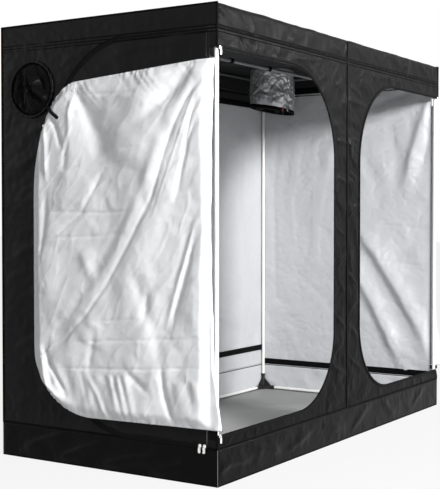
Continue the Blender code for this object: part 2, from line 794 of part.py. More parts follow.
def add_zip_sliders():
    """Adds a slider and its pull at each end of both doorway zips and two on the side zip."""
    slider = slider_mesh()
    pull = pull_mesh()
    pin = Vector((0, -GAP - SLIDER_DEPTH - PIN_PROUD, 0))
    places = []
    for label, side in (("left", -1), ("right", 1)):
        x = side * (HALF_LENGTH - CORNER_SLIDER_START)
        for level, z in (("top", DOORWAY_TOP), ("bottom", DOORWAY_BOTTOM)):
            places.append((f"{label}_{level}", Matrix.Translation((x, -HALF_DEPTH, z))))
    x = -HALF_LENGTH - GAP - ZIP_THICKNESS
    z = SKIRT_HEIGHT + SIDE_DOOR_SILL
    turn = Matrix.Rotation(math.radians(-90), 4, "Z")
    for label, start in zip(("side_front", "side_back"), SIDE_SLIDER_STARTS):
        y = -HALF_DEPTH + start
        places.append((label, Matrix.Translation((x, y, z)) @ turn))
    for label, place in places:
        add_part(f"zip_slider_{label}", slider, "nickel", place)
        add_part(f"zip_pull_{label}", pull, "nickel", place @ Matrix.Translation(pin))


def add_duct_port():
    """Adds the gathered sock that closes the wall's duct port and the ring round it."""
    centre = Vector((-HALF_LENGTH, PORT_FROM_FRONT - HALF_DEPTH, PORT_HEIGHT))
    rim = PORT_RADIUS + SOCK_RIM

    def build(shape):
        rings = []
        for ring in range(1, SOCK_RINGS + 1):
            share = ring / SOCK_RINGS
            verts = []
            for spoke in range(SOCK_SPOKES):
                angle = math.tau * spoke / SOCK_SPOKES
                pleat = SOCK_PLEAT_DEPTH * math.cos(SOCK_PLEATS * angle + math.pi * share)
                lift = SOCK_BULGE * (1 - share ** 2) + pleat * math.sin(math.pi * share)
                away = GAP + CLOTH / 2 + lift
                y = share * rim * math.cos(angle)
                z = share * rim * math.sin(angle)
                verts.append(shape.verts.new(centre + Vector((-away, y, z))))
            rings.append(verts)
        peak = shape.verts.new(centre - Vector((GAP + CLOTH / 2 + SOCK_BULGE, 0, 0)))
        for spoke in range(SOCK_SPOKES):
            after = (spoke + 1) % SOCK_SPOKES
            shape.faces.new((peak, rings[0][spoke], rings[0][after]))
            for inner, outer in zip(rings, rings[1:]):
                shape.faces.new((inner[spoke], outer[spoke], outer[after], inner[after]))

    sock = add_part("duct_sock", mesh_from("duct_sock", build), "black_cloth")
    thicken(sock, CLOTH, 0.0)
    smooth(sock)
    bpy.ops.mesh.primitive_torus_add(
        major_segments=RING_STEPS,
        minor_segments=RING_SIDES,
        major_radius=RING_RADIUS,
        minor_radius=RING_THICKNESS,
    )
    torus = bpy.context.object
    mesh = torus.data
    bpy.data.objects.remove(torus)
    mesh.name = "duct_ring"
    mesh.transform(Matrix.Rotation(math.radians(90), 4, "Y"))
    place = Matrix.Translation(centre - Vector((GAP + RING_THICKNESS, 0, 0)))
    smooth(add_part("duct_ring", mesh, "zip_tape", place))


def add_roof_sleeve():
    """Adds the silver duct sleeve that hangs from the roof port into the tent."""
    top = HEIGHT - CLOTH - GAP
    centre = Vector((SLEEVE_X, SLEEVE_Y, 0))

    def build(shape):
        rings = []
        for ring in range(SLEEVE_RINGS + 1):
            share = ring / SLEEVE_RINGS
            verts = []
            for spoke in range(SLEEVE_SPOKES):
                angle = math.tau * spoke / SLEEVE_SPOKES
                wave = math.sin(SLEEVE_WAVES * angle + math.pi * share) * math.sin(math.pi * share)
                radius = SLEEVE_RADIUS + SLEEVE_WAVE_DEPTH * wave
                place = Vector((radius * math.cos(angle), radius * math.sin(angle), 0))
                place.z = top - SLEEVE_LENGTH * share
                verts.append(shape.verts.new(centre + place))
            rings.append(verts)
        for upper, lower in zip(rings, rings[1:]):
            for spoke in range(SLEEVE_SPOKES):
                after = (spoke + 1) % SLEEVE_SPOKES
                shape.faces.new((upper[spoke], lower[spoke], lower[after], upper[after]))

    sleeve = add_part("roof_sleeve", mesh_from("roof_sleeve", build), "silver_lining")
    thicken(sleeve, CLOTH, 0.0)
    smooth(sleeve)


def clear_scene():
    """Removes the objects that the scene starts with."""
    for found in list(bpy.data.objects):
        bpy.data.objects.remove(found)


def main():
    """Builds the tent."""
    clear_scene()
    add_corners()
    add_tees()
    add_poles()
    add_ceiling_bar()
    add_floor_tray()
    add_roof_canopy()
    add_front_panel()
    add_back_wall()
    add_end_walls()
    add_side_door()
    add_leaf("left", -1)
    add_leaf("right", 1)
    add_zip_sliders()
    add_duct_port()
    add_roof_sleeve()


main()
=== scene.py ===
"""The dressed look of an indoor grow tent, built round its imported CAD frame."""

import logging
import math
from dataclasses import dataclass, field, replace
from enum import Enum
from typing import Callable, Optional, Sequence

import bpy
import numpy as np
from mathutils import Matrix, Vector
from mathutils.geometry import delaunay_2d_cdt

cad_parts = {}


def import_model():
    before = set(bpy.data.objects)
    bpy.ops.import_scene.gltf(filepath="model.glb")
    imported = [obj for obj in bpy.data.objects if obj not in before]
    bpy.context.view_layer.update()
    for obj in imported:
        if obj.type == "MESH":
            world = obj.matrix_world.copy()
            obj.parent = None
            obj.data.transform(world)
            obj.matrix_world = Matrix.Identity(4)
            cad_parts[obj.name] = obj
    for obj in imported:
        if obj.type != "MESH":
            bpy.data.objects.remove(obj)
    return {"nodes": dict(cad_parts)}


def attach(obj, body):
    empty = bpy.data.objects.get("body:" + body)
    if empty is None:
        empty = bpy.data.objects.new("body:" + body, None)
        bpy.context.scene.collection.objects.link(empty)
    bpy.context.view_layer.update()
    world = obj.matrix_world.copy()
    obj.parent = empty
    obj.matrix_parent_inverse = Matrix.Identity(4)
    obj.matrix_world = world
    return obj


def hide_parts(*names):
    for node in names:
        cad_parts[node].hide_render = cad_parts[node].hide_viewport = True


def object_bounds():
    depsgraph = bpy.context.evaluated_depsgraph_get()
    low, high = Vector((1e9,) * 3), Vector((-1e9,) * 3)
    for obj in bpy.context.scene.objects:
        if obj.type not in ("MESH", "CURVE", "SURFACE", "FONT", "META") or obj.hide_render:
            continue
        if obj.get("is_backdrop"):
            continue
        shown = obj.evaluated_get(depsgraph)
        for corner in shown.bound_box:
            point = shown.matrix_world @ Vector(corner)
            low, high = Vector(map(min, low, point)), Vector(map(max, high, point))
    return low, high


LOG = logging.getLogger("grow_tent")

Point = tuple[float, float]
Loop = Sequence[Point]
Place = tuple[float, float, float]
Feeds = dict[object, object]


# Sizes that the dressing shares with the frame


@dataclass(frozen=True)
class TentSizes:
    """The sizes of the bare tent, in metres, that its cloth and trim follow."""

    half_length: float = 1.2
    half_depth: float = 0.6
    height: float = 2.0
    cloth: float = 0.0015
    gap: float = 0.0003
    skirt: float = 0.155
    wall_bottom: float = 0.1562
    band_bottom: float = 1.895
    door_bottom: float = 0.212
    door_top: float = 1.815
    door_inner: float = 0.145
    door_top_radius: float = 0.42
    door_bottom_radius: float = 0.35
    slit: float = 0.040
    side_door_front: float = -0.548
    side_door_back: float = 0.270
    side_door_sill: float = 0.166
    side_door_radius: float = 0.42
    port_y: float = 0.410
    port_z: float = 1.703
    port_radius: float = 0.113
    sleeve_x: float = 0.80
    sleeve_y: float = 0.30
    sleeve_radius: float = 0.130
    sleeve_length: float = 0.245


TENT = TentSizes()


class Body(Enum):
    """The bodies of the frame that dressed pieces ride on."""

    TENT = "tent"
    LEFT_DOOR = "left_door"
    RIGHT_DOOR = "right_door"


class Bead(Enum):
    """The small shape that is repeated along a seam or a zip."""

    STITCH = "stitch"
    TOOTH = "tooth"


# Shader graphs


class NodeGraph:
    """Adds and joins the nodes of one shader or geometry tree."""

    def __init__(self, tree: bpy.types.NodeTree) -> None:
        """Takes the tree to fill.

        Args:
            tree: The node tree that the graph writes into.
        """
        self.tree = tree
        self.count = 0

    def add(self, kind: str, feeds: Optional[Feeds] = None, **settings: object) -> bpy.types.Node:
        """Adds a node.

        Args:
            kind: The node's type name.
            feeds: What goes into its inputs, by their names or numbers.
            **settings: Properties to set on the node.

        Returns:
            The new node.
        """
        node = self.tree.nodes.new(kind)
        node.location = (180 * (self.count % 9), -220 * (self.count // 9))
        self.count += 1
        for key, value in settings.items():
            setattr(node, key, value)
        self.fill(node, feeds or {})
        return node

    def feed(self, target: bpy.types.NodeSocket, source: object) -> None:
        """Links a socket to a target, or writes a plain value there.

        Args:
            target: The input socket.
            source: A socket or a value.
        """
        if isinstance(source, bpy.types.NodeSocket):
            self.tree.links.new(source, target)
        else:
            target.default_value = source

    def fill(self, node: bpy.types.Node, feeds: Feeds) -> None:
        """Feeds several inputs of a node.

        Args:
            node: The node.
            feeds: What goes into its inputs, by their names or numbers.
        """
        for key, source in feeds.items():
            self.feed(node.inputs[key], source)

    def place(self) -> bpy.types.NodeSocket:
        """Returns the object's own coordinates."""
        return self.add("ShaderNodeTexCoord").outputs["Object"]

    def math(self, operation: str, *values: object) -> bpy.types.NodeSocket:
        """Adds a Math node.

        Args:
            operation: The Math node's operation.
            *values: Its inputs, as sockets or numbers.

        Returns:
            The value's socket.
        """
        return self.add("ShaderNodeMath", dict(enumerate(values)), operation=operation).outputs[0]

    def mix(self, share: object, first: object, second: object) -> bpy.types.NodeSocket:
        """Adds a colour Mix node.

        Args:
            share: How much of the second colour shows.
            first: The first colour, as a socket or three numbers.
            second: The second colour, as a socket or three numbers.

        Returns:
            The colour's socket.
        """
        first, second = ((*colour, 1.0) if isinstance(colour, tuple) else colour
                         for colour in (first, second))
        feeds = {0: share, 6: first, 7: second}
        return self.add("ShaderNodeMix", feeds, data_type="RGBA").outputs[2]

    def span(self, *values: object) -> bpy.types.NodeSocket:
        """Adds a Map Range node that eases between two values.

        Args:
            *values: The value that is mapped, the two values that it runs between, and the two
                results.

        Returns:
            The mapped value's socket.
        """
        feeds = dict(enumerate(values))
        return self.add("ShaderNodeMapRange", feeds, interpolation_type="SMOOTHSTEP").outputs[0]

    def noise(self, place: object, scale: object, **feeds: float) -> bpy.types.NodeSocket:
        """Adds a Noise node.

        Args:
            place: The coordinates.
            scale: The noise's scale.
            **feeds: Its other inputs.

        Returns:
            The noise's socket.
        """
        feeds = {"Vector": place, "Scale": scale, **feeds}
        return self.add("ShaderNodeTexNoise", feeds).outputs["Fac"]

    def bump(self, height: object, depth: float, strength: float,
             normal: object = None) -> bpy.types.NodeSocket:
        """Adds a Bump node.

        Args:
            height: The height's socket.
            depth: How deep the bumps are.
            strength: How strongly they show.
            normal: A normal that they come on top of.

        Returns:
            The normal's socket.
        """
        feeds = {"Distance": depth, "Strength": strength, "Height": height}
        if normal is not None:
            feeds["Normal"] = normal
        return self.add("ShaderNodeBump", feeds).outputs["Normal"]

    def seen(self) -> bpy.types.NodeSocket:
        """Returns where a camera or glossy ray looks."""
        path = self.add("ShaderNodeLightPath").outputs
        return self.math("MAXIMUM", path["Is Camera Ray"], path["Is Glossy Ray"])


def open_group(
    name: str, kind: str, inputs: Feeds, outputs: Sequence[str]
) -> tuple[NodeGraph, bpy.types.NodeOutputs, bpy.types.NodeInputs]:
    """Starts a node group.

    Args:
        name: The group's name.
        kind: "Shader", whose results are numbers, or "Geometry".
        inputs: Each input's name, with its usual value or, in words, its kind.
        outputs: The results' names.

    Returns:
        The group's graph, what is given to it, and its results.
    """
    tree = bpy.data.node_groups.new(name, f"{kind}NodeTree")
    for label, value in inputs.items():
        sort = value if isinstance(value, str) else "Float"
        socket = tree.interface.new_socket(name=label, in_out="INPUT",
                                           socket_type=f"NodeSocket{sort}")
        if sort == "Float":
            socket.default_value = value
    result = "Float" if kind == "Shader" else kind
    for label in outputs:
        tree.interface.new_socket(name=label, in_out="OUTPUT", socket_type=f"NodeSocket{result}")
    graph = NodeGraph(tree)
    given = graph.add("NodeGroupInput").outputs
    return graph, given, graph.add("NodeGroupOutput").inputs


class EffectGroups:
    """The shader effects that several finishes share, each a node group."""

    THREAD_WAVES = 0.314
    SPECKS = 40.0
    SLOW_GRAIN = 0.02

    def __init__(self) -> None:
        """Builds every group once."""
        self.weave = self._weave()
        self.crumple = self._crumple()
        self.dust = self._dust()
        self.grain = self._grain()

    def _weave(self) -> bpy.types.NodeTree:
        """Returns crossing threads, whose count per metre is an input."""
        graph, given, result = open_group(
            "cloth weave", "Shader", {"Threads": 700.0, "Slack": 0.4}, ("Height", "Thread shade"))
        feeds = {"Vector": graph.place(), "Distortion": given["Slack"], "Detail": 1.0,
                 "Scale": graph.math("MULTIPLY", given["Threads"], self.THREAD_WAVES)}
        waves = [graph.add("ShaderNodeTexWave", feeds, wave_type="BANDS",
                           bands_direction=direction).outputs["Fac"] for direction in "XYZ"]
        crossed = graph.math("ADD", graph.math("ADD", waves[0], waves[1]), waves[2])
        height = graph.math("MULTIPLY", crossed, 0.333)
        graph.feed(result["Height"], height)
        graph.feed(result["Thread shade"], graph.span(height, 0.25, 0.75, 0.0, 1.0))
        return graph.tree

    @staticmethod
    def _crumple() -> bpy.types.NodeTree:
        """Returns the creases of handled cloth: flat facets with soft ridges between, and a mask of
        painted shade along the creases.
        """
        graph, given, result = open_group(
            "crumpled cloth", "Shader",
            {"Creases": 9.0, "Ridges": 4.0, "Wander": 0.12, "Facets": 0.12},
            ("Height", "Painted crease shade"))
        place = graph.place()
        drift = graph.add("ShaderNodeTexNoise", {"Vector": place, "Scale": 5.0, "Detail": 2.0})
        moved = {0: drift.outputs["Color"], 1: (0.5, 0.5, 0.5)}
        moved = graph.add("ShaderNodeVectorMath", moved, operation="SUBTRACT").outputs[0]
        moved = {0: moved, "Scale": given["Wander"]}
        moved = graph.add("ShaderNodeVectorMath", moved, operation="SCALE").outputs[0]
        bent = graph.add("ShaderNodeVectorMath", {0: place, 1: moved}, operation="ADD").outputs[0]
        cells = graph.add("ShaderNodeTexVoronoi", {"Vector": bent, "Scale": given["Creases"]},
                          feature="DISTANCE_TO_EDGE").outputs["Distance"]
        ridges = {"Vector": bent, "Scale": given["Ridges"], "Detail": 5.0, "Roughness": 0.55}
        ridges = graph.add("ShaderNodeTexNoise", ridges, noise_type="RIDGED_MULTIFRACTAL")
        rest = graph.math("SUBTRACT", 1.0, given["Facets"])
        ridge = graph.math("MULTIPLY", ridges.outputs["Fac"], rest)
        flats = graph.math("MULTIPLY", graph.span(cells, 0.0, 0.16, 0.0, 1.0), given["Facets"])
        graph.feed(result["Height"], graph.math("ADD", flats, ridge))
        # This mask paints shade along the cell edges, so the cloth is darker where its creases are.
        graph.feed(result["Painted crease shade"], graph.span(cells, 0.0, 0.05, 1.0, 0.0))
        return graph.tree

    def _dust(self) -> bpy.types.NodeTree:
        """Returns soft patches of dust and rub, broken up by fine specks."""
        graph, given, result = open_group(
            "dust and rub", "Shader", {"Patches": 3.0, "Amount": 0.5}, ("Mask",))
        place = graph.place()
        broad = graph.noise(place, given["Patches"], Detail=4.0)
        fine = graph.noise(place, graph.math("MULTIPLY", given["Patches"], self.SPECKS), Detail=2.0)
        mask = graph.math("MULTIPLY", graph.span(broad, 0.35, 0.70, 0.0, 1.0),
                          graph.span(fine, 0.30, 0.80, 0.4, 1.0))
        graph.feed(result["Mask"], graph.math("MULTIPLY", mask, given["Amount"]))
        return graph.tree

    def _grain(self) -> bpy.types.NodeTree:
        """Returns the fine, even texture of moulded plastic, paint or brushed metal."""
        graph, given, result = open_group(
            "fine grain", "Shader", {"Grains": 900.0}, ("Height", "Mask"))
        place = graph.place()
        slow = graph.noise(place, graph.math("MULTIPLY", given["Grains"], self.SLOW_GRAIN))
        graph.feed(result["Height"], graph.noise(place, given["Grains"], Detail=3.0))
        graph.feed(result["Mask"], graph.span(slow, 0.4, 0.7, 0.0, 1.0))
        return graph.tree


@dataclass(frozen=True)
class ClothFinish:
    """A woven and coated cloth, with its threads, creases and dust, and painted shade along its
    creases.
    """

    name: str
    slot: str
    colour: Place
    dusty: Place
    roughness: Point
    metallic: float = 0.0
    specular: float = 0.5
    threads: float = 700.0
    weave_depth: float = 0.00012
    creases: float = 9.0
    ridges: float = 4.0
    facets: float = 0.08
    crease_depth: float = 0.003
    painted_crease_shade: float = 0.10
    dust: float = 0.5
    patches: float = 3.0

    # The painted crease shade: how dark the colour goes along creases, as a share of the cloth's
    # own colour.
    PAINTED_CREASE_SHADE_TONE = 0.72
    THREAD_SHADE = 0.18
    THREAD_TONE = 0.85

    def build(self, effects: EffectGroups) -> bpy.types.Material:
        """Makes the cloth's material.

        Args:
            effects: The shared shader groups.

        Returns:
            The material.
        """
        material, graph, shader = new_material(self.name)
        kind = "ShaderNodeGroup"
        weave = graph.add(kind, {"Threads": self.threads}, node_tree=effects.weave).outputs
        crumple = {"Creases": self.creases, "Ridges": self.ridges, "Facets": self.facets}
        crumple = graph.add(kind, crumple, node_tree=effects.crumple).outputs
        dust = {"Patches": self.patches, "Amount": self.dust}
        dust = graph.add(kind, dust, node_tree=effects.dust).outputs
        colour = graph.mix(dust["Mask"], self.colour, self.dusty)
        # Paint shade along the creases, then the weave's thread tone.
        for mask, share, tone in ((crumple["Painted crease shade"], self.painted_crease_shade, self.PAINTED_CREASE_SHADE_TONE),
                                  (weave["Thread shade"], self.THREAD_SHADE, self.THREAD_TONE)):
            share = graph.math("MULTIPLY", mask, share)
            colour = graph.mix(share, colour, tuple(tone * part for part in self.colour))
        folds = graph.bump(crumple["Height"], self.crease_depth, 1.0)
        graph.fill(shader, {
            "Base Color": colour,
            "Roughness": graph.span(crumple["Height"], 0.2, 0.9, *self.roughness),
            "Metallic": self.metallic,
            "Specular IOR Level": self.specular,
            "Normal": graph.bump(weave["Height"], self.weave_depth, 0.7, folds),
        })
        return material


@dataclass(frozen=True)
class HardFinish:
    """A painted, moulded or plated surface with a fine grain and some rub."""

    name: str
    slot: str
    colour: Place
    rubbed: Place
    roughness: Point
    metallic: float = 0.0
    grains: float = 900.0
    grain_depth: float = 0.00004
    rub: float = 0.4
    specular: float = 0.5

    def build(self, effects: EffectGroups) -> bpy.types.Material:
        """Makes the hard surface's material.

        Args:
            effects: The shared shader groups.

        Returns:
            The material.
        """
        material, graph, shader = new_material(self.name)
        kind = "ShaderNodeGroup"
        grain = graph.add(kind, {"Grains": self.grains}, node_tree=effects.grain).outputs
        dust = {"Patches": 7.0, "Amount": self.rub}
        dust = graph.add(kind, dust, node_tree=effects.dust).outputs
        graph.fill(shader, {
            "Base Color": graph.mix(dust["Mask"], self.colour, self.rubbed),
            "Specular IOR Level": self.specular,
            "Roughness": graph.span(grain["Mask"], 0.0, 1.0, *self.roughness),
            "Metallic": self.metallic,
            "Normal": graph.bump(grain["Height"], self.grain_depth, 0.6),
        })
        return material


def new_material(name: str) -> tuple[bpy.types.Material, NodeGraph, bpy.types.Node]:
    """Starts a material with an empty Principled shader.

    Args:
        name: The material's name.

    Returns:
        The material, its graph and its shader node.
    """
    material = bpy.data.materials.new(name)
    material.use_nodes = True
    material.node_tree.nodes.clear()
    graph = NodeGraph(material.node_tree)
    shader = graph.add("ShaderNodeBsdfPrincipled")
    graph.add("ShaderNodeOutputMaterial", {"Surface": shader.outputs["BSDF"]})
    return material, graph, shader


class Look(Enum):
    """The finishes of the tent."""

    WALL = ClothFinish(
        "black wall cloth", "black_cloth", (0.0032, 0.0032, 0.0034), (0.0075, 0.0075, 0.0079),
        (0.42, 0.32), specular=0.09, threads=620.0, creases=7.0, ridges=5.0,
        crease_depth=0.010, painted_crease_shade=0.1, dust=0.5,
    )
    FRONT = ClothFinish(
        "black front cloth", "black_cloth", (0.0028, 0.0028, 0.0030), (0.0060, 0.0060, 0.0063),
        (0.38, 0.28), specular=0.036, threads=620.0, creases=6.0, ridges=11.0,
        crease_depth=0.009, painted_crease_shade=0.1, dust=0.5,
    )
    BAND = replace(FRONT, name="black band cloth", slot="band_cloth")
    SKIRT = ClothFinish(
        "waterproof skirt cloth", "skirt_cloth", (0.0010, 0.0010, 0.0013), (0.002, 0.002, 0.0025),
        (0.30, 0.22), specular=0.065, threads=520.0, creases=5.0, ridges=5.0,
        crease_depth=0.005, painted_crease_shade=0.1, dust=0.35,
    )
    # The same silver lining as the leaf, its colour painted darker as the shade inside the tent.
    PAINTED_SHADE_LINING = ClothFinish(
        "silver lining with painted shade", "silver_lining", (0.59, 0.60, 0.615), (0.53, 0.54, 0.56),
        (0.46, 0.36), metallic=0.12, threads=700.0, creases=5.0, ridges=6.0,
        crease_depth=0.014, painted_crease_shade=0.06, dust=0.35,
    )
    LEAF = ClothFinish(
        "silver leaf lining", "silver_lining", (0.85, 0.86, 0.875), (0.78, 0.79, 0.81),
        (0.50, 0.40), metallic=0.06, threads=560.0, weave_depth=0.00022, creases=5.0,
        ridges=9.0, crease_depth=0.008, painted_crease_shade=0.08, dust=0.3,
    )
    FOIL = ClothFinish(
        "crumpled duct foil", "silver_lining", (0.58, 0.59, 0.60), (0.40, 0.41, 0.42),
        (0.36, 0.24), metallic=0.6, threads=900.0, creases=16.0, ridges=12.0, facets=0.30,
        crease_depth=0.007, painted_crease_shade=0.3, dust=0.3,
    )
    # A near-black finish painted as shade on lining that the light doesn't reach: the walls' inside
    # above the upper band, the roof's inside and the sleeve's inside.
    PAINTED_SHADE = ClothFinish(
        "painted shade roof lining", "black_cloth", (0.016, 0.016, 0.017), (0.028, 0.028, 0.030),
        (0.70, 0.58), specular=0.25, threads=500.0, crease_depth=0.003, dust=0.4,
    )
    GROUND = ClothFinish(
        "grey ground liner", "silver_lining", (0.30, 0.30, 0.295), (0.36, 0.36, 0.355),
        (0.62, 0.50), specular=0.3, threads=480.0, creases=5.0, ridges=3.0,
        crease_depth=0.002, dust=0.5,
    )
    WEBBING = ClothFinish(
        "black webbing", "webbing", (0.0022, 0.0022, 0.0024), (0.0055, 0.0055, 0.0058),
        (0.70, 0.58), specular=0.08, threads=420.0, weave_depth=0.0004,
        creases=18.0, ridges=9.0, crease_depth=0.0006, dust=0.5,
    )
    PIPING = ClothFinish(
        "black piping", "webbing", (0.0016, 0.0016, 0.0017), (0.004, 0.004, 0.0042),
        (0.55, 0.42), specular=0.05, threads=900.0, creases=30.0, ridges=12.0,
        crease_depth=0.0006, dust=0.4,
    )
    PALE_PIPING = replace(
        PIPING, name="grey corner piping", colour=(0.11, 0.11, 0.112), dusty=(0.06, 0.06, 0.06),
        roughness=(0.52, 0.40), specular=0.5, dust=0.5,
    )
    PALE_THREAD = ClothFinish(
        "grey sewing thread", "webbing", (0.10, 0.10, 0.10), (0.06, 0.06, 0.06),
        (0.60, 0.50), specular=0.2, threads=2600.0, creases=60.0, ridges=40.0,
        crease_depth=0.0002, dust=0.5,
    )
    DARK_THREAD = replace(
        PALE_THREAD, name="black sewing thread", colour=(0.012, 0.012, 0.0125),
        dusty=(0.006, 0.006, 0.006), specular=0.1,
    )
    SILVER_THREAD = replace(
        PALE_THREAD, name="silver sewing thread", colour=(0.48, 0.49, 0.50),
        dusty=(0.38, 0.38, 0.39), roughness=(0.55, 0.45), specular=0.5,
    )
    TEETH = HardFinish(
        "black zip coil", "connector_plastic", (0.004, 0.004, 0.0042), (0.010, 0.010, 0.010),
        (0.48, 0.36), grains=1400.0, specular=0.06,
    )
    PAINT = HardFinish(
        "white pole paint", "pole_paint", (0.80, 0.80, 0.79), (0.70, 0.69, 0.67),
        (0.34, 0.26), grains=500.0, grain_depth=0.00005, rub=0.35,
    )
    # The top rails' white pole paint, painted dark grey as the shade under the roof.
    PAINTED_SHADE_RAIL = HardFinish(
        "pole paint darkened as painted shade", "pole_paint", (0.09, 0.09, 0.092), (0.07, 0.07, 0.07),
        (0.46, 0.36), grains=500.0, rub=0.35,
    )
    # The bar's grey paint, its colour lowered further as painted shade under the roof.
    BAR = HardFinish(
        "grey bar paint with painted shade", "bar_paint", (0.17, 0.17, 0.175), (0.13, 0.13, 0.13),
        (0.44, 0.34), metallic=0.3, grains=600.0, rub=0.4,
    )
    PLASTIC = HardFinish(
        "moulded black plastic", "connector_plastic", (0.014, 0.014, 0.015),
        (0.032, 0.032, 0.031), (0.50, 0.36), grains=1100.0, grain_depth=0.00008, rub=0.5,
        specular=0.25,
    )
    NICKEL = HardFinish(
        "bright nickel", "nickel", (0.86, 0.86, 0.84), (0.74, 0.73, 0.70),
        (0.30, 0.20), metallic=0.55, grains=1600.0, rub=0.4,
    )
    TOGGLE = HardFinish(
        "red cord lock", "connector_plastic", (0.42, 0.06, 0.045), (0.50, 0.14, 0.11),
        (0.42, 0.32), grains=1200.0, rub=0.4,
    )


class Wardrobe:
    """Makes each finish once and puts it on the tent's pieces."""

    def __init__(self) -> None:
        """Builds the shared effects; finishes follow when they are first asked for."""
        self.effects = EffectGroups()
        self.made: dict[Look, bpy.types.Material] = {}

    def material(self, look: Look) -> bpy.types.Material:
        """Returns the material of a finish.

        Args:
            look: Which finish.

        Returns:
            Its material.
        """
        if look not in self.made:
            self.made[look] = look.value.build(self.effects)
        return self.made[look]

    def dress(self, piece: bpy.types.Object, *looks: Look) -> None:
        """Gives a piece its finishes, one for each material slot.

        Args:
            piece: The piece.
            *looks: The finishes, in the order of the piece's material slots.
        """
        piece.data.materials.clear()
        for look in looks:
            piece.data.materials.append(self.material(look))

    def finish(self, piece: bpy.types.Object, *looks: Look, node: str = "",
               body: str = Body.TENT.value) -> None:
        """Dresses a piece and sets it on its body.

        Args:
            piece: The piece.
            *looks: The finishes of its material slots.
            node: The frame's node that it stands for, if there is one.
            body: The name of the body that it rides on.
        """
        self.dress(piece, *looks)
        if node:
            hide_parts(node)
        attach(piece, body)


# Drawing on flat cloth


def arc(centre: Point, radius: float, start: float, end: float, steps: int = 24) -> list[Point]:
    """Draws an arc.

    Args:
        centre: Its centre.
        radius: Its radius.
        start: Its first angle, in degrees.
        end: Its last angle, in degrees.
        steps: How many straight runs it has.

    Returns:
        Its points.
    """
    angles = [math.radians(start + (end - start) * step / steps) for step in range(steps + 1)]
    return [(centre[0] + radius * math.cos(a), centre[1] + radius * math.sin(a)) for a in angles]


def d_edge(
    flat: float, bulge: float, bottom: float, top: float, radii: Point, grow: float = 0.0
) -> list[Point]:
    """Draws the open, rounded edge of a D-shaped door.

    Args:
        flat: Where the D's straight side stands.
        bulge: Where its rounded side reaches.
        bottom: Its lowest height.
        top: Its highest height.
        radii: The bottom and top corner radius.
        grow: How far outside the edge the line runs.

    Returns:
        The points from the sill round to the head.
    """
    side = math.copysign(1.0, bulge - flat)
    low = arc((0.0, bottom + radii[0]), radii[0] + grow, -90, 0)
    high = arc((0.0, top - radii[1]), radii[1] + grow, 0, 90)
    low = [(bulge + side * (u - radii[0]), v) for u, v in low]
    high = [(bulge + side * (u - radii[1]), v) for u, v in high]
    return [(flat, bottom - grow), *low, *high, (flat, top + grow)]


def doorway_edge(side: int, grow: float = 0.0) -> list[Point]:
    """Draws a front doorway's rounded edge.

    Args:
        side: -1 for the left doorway, 1 for the right.
        grow: How far outside the edge the line runs.

    Returns:
        The points from the sill round to the head.
    """
    radii = (TENT.door_bottom_radius, TENT.door_top_radius)
    edge = (TENT.door_bottom, TENT.door_top)
    return d_edge(side * TENT.half_length, side * TENT.door_inner, *edge, radii, grow)


def side_door_edge(grow: float = 0.0) -> list[Point]:
    """Draws the side door's rounded edge, `grow` outside it."""
    radii = (TENT.side_door_radius, TENT.side_door_radius)
    heights = (TENT.side_door_sill, TENT.band_bottom)
    return d_edge(TENT.side_door_front, TENT.side_door_back, *heights, radii, grow)


def resample(path: Loop, spacing: float, closed: bool = True) -> list[Point]:
    """Puts points along a line no further apart than a spacing.

    Args:
        path: The line's corners.
        spacing: The longest step.
        closed: Whether the last point joins the first.

    Returns:
        The denser line.
    """
    points: list[Point] = []
    ends = list(path[1:]) + ([path[0]] if closed else [])
    for start, end in zip(path, ends):
        run = math.dist(start, end)
        if run < 1e-7:
            continue
        steps = max(1, math.ceil(run / spacing))
        for step in range(steps):
            share = step / steps
            points.append(tuple(a + (b - a) * share for a, b in zip(start, end)))
    if not closed:
        points.append(tuple(path[-1]))
    return points


def segment_distance(points: np.ndarray, start: np.ndarray, end: np.ndarray) -> np.ndarray:
    """Measures how far points are from a straight run.

    Args:
        points: An array of points.
        start: The run's start.
        end: The run's end.

    Returns:
        The distances and, beside them, the shares along the run.
    """
    run = end - start
    share = np.clip((points - start) @ run / max(run @ run, 1e-12), 0, 1)
    away = np.linalg.norm(points - start - share[:, None] * run, axis=1)
    return np.stack([away, share], axis=1)


def edge_distance(points: np.ndarray, loops: Sequence[Loop]) -> np.ndarray:
    """Measures how far points are from the nearest edge.

    Args:
        points: An array of points.
        loops: Closed outlines.

    Returns:
        The distances.
    """
    nearest = np.full(len(points), np.inf)
    for loop in loops:
        corners = np.array(loop, float)
        for start, end in zip(corners, np.roll(corners, -1, axis=0)):
            nearest = np.minimum(nearest, segment_distance(points, start, end)[:, 0])
    return nearest


def inside(points: np.ndarray, loops: Sequence[Loop]) -> np.ndarray:
    """Finds which points are within an outline and outside its holes.

    Args:
        points: An array of points.
        loops: Closed outlines, holes among them.

    Returns:
        True where a point is inside.
    """
    within = np.zeros(len(points), bool)
    x, y = points[:, 0], points[:, 1]
    for loop in loops:
        corners = np.array(loop, float)
        for (x0, y0), (x1, y1) in zip(corners, np.roll(corners, -1, axis=0)):
            if y0 != y1:
                crosses = (y0 > y) != (y1 > y)
                within ^= crosses & (x < (x1 - x0) * (y - y0) / (y1 - y0) + x0)
    return within


def eased(value: np.ndarray) -> np.ndarray:
    """Returns an eased share between nothing and one."""
    value = np.clip(value, 0.0, 1.0)
    return value * value * (3 - 2 * value)


# How cloth lies


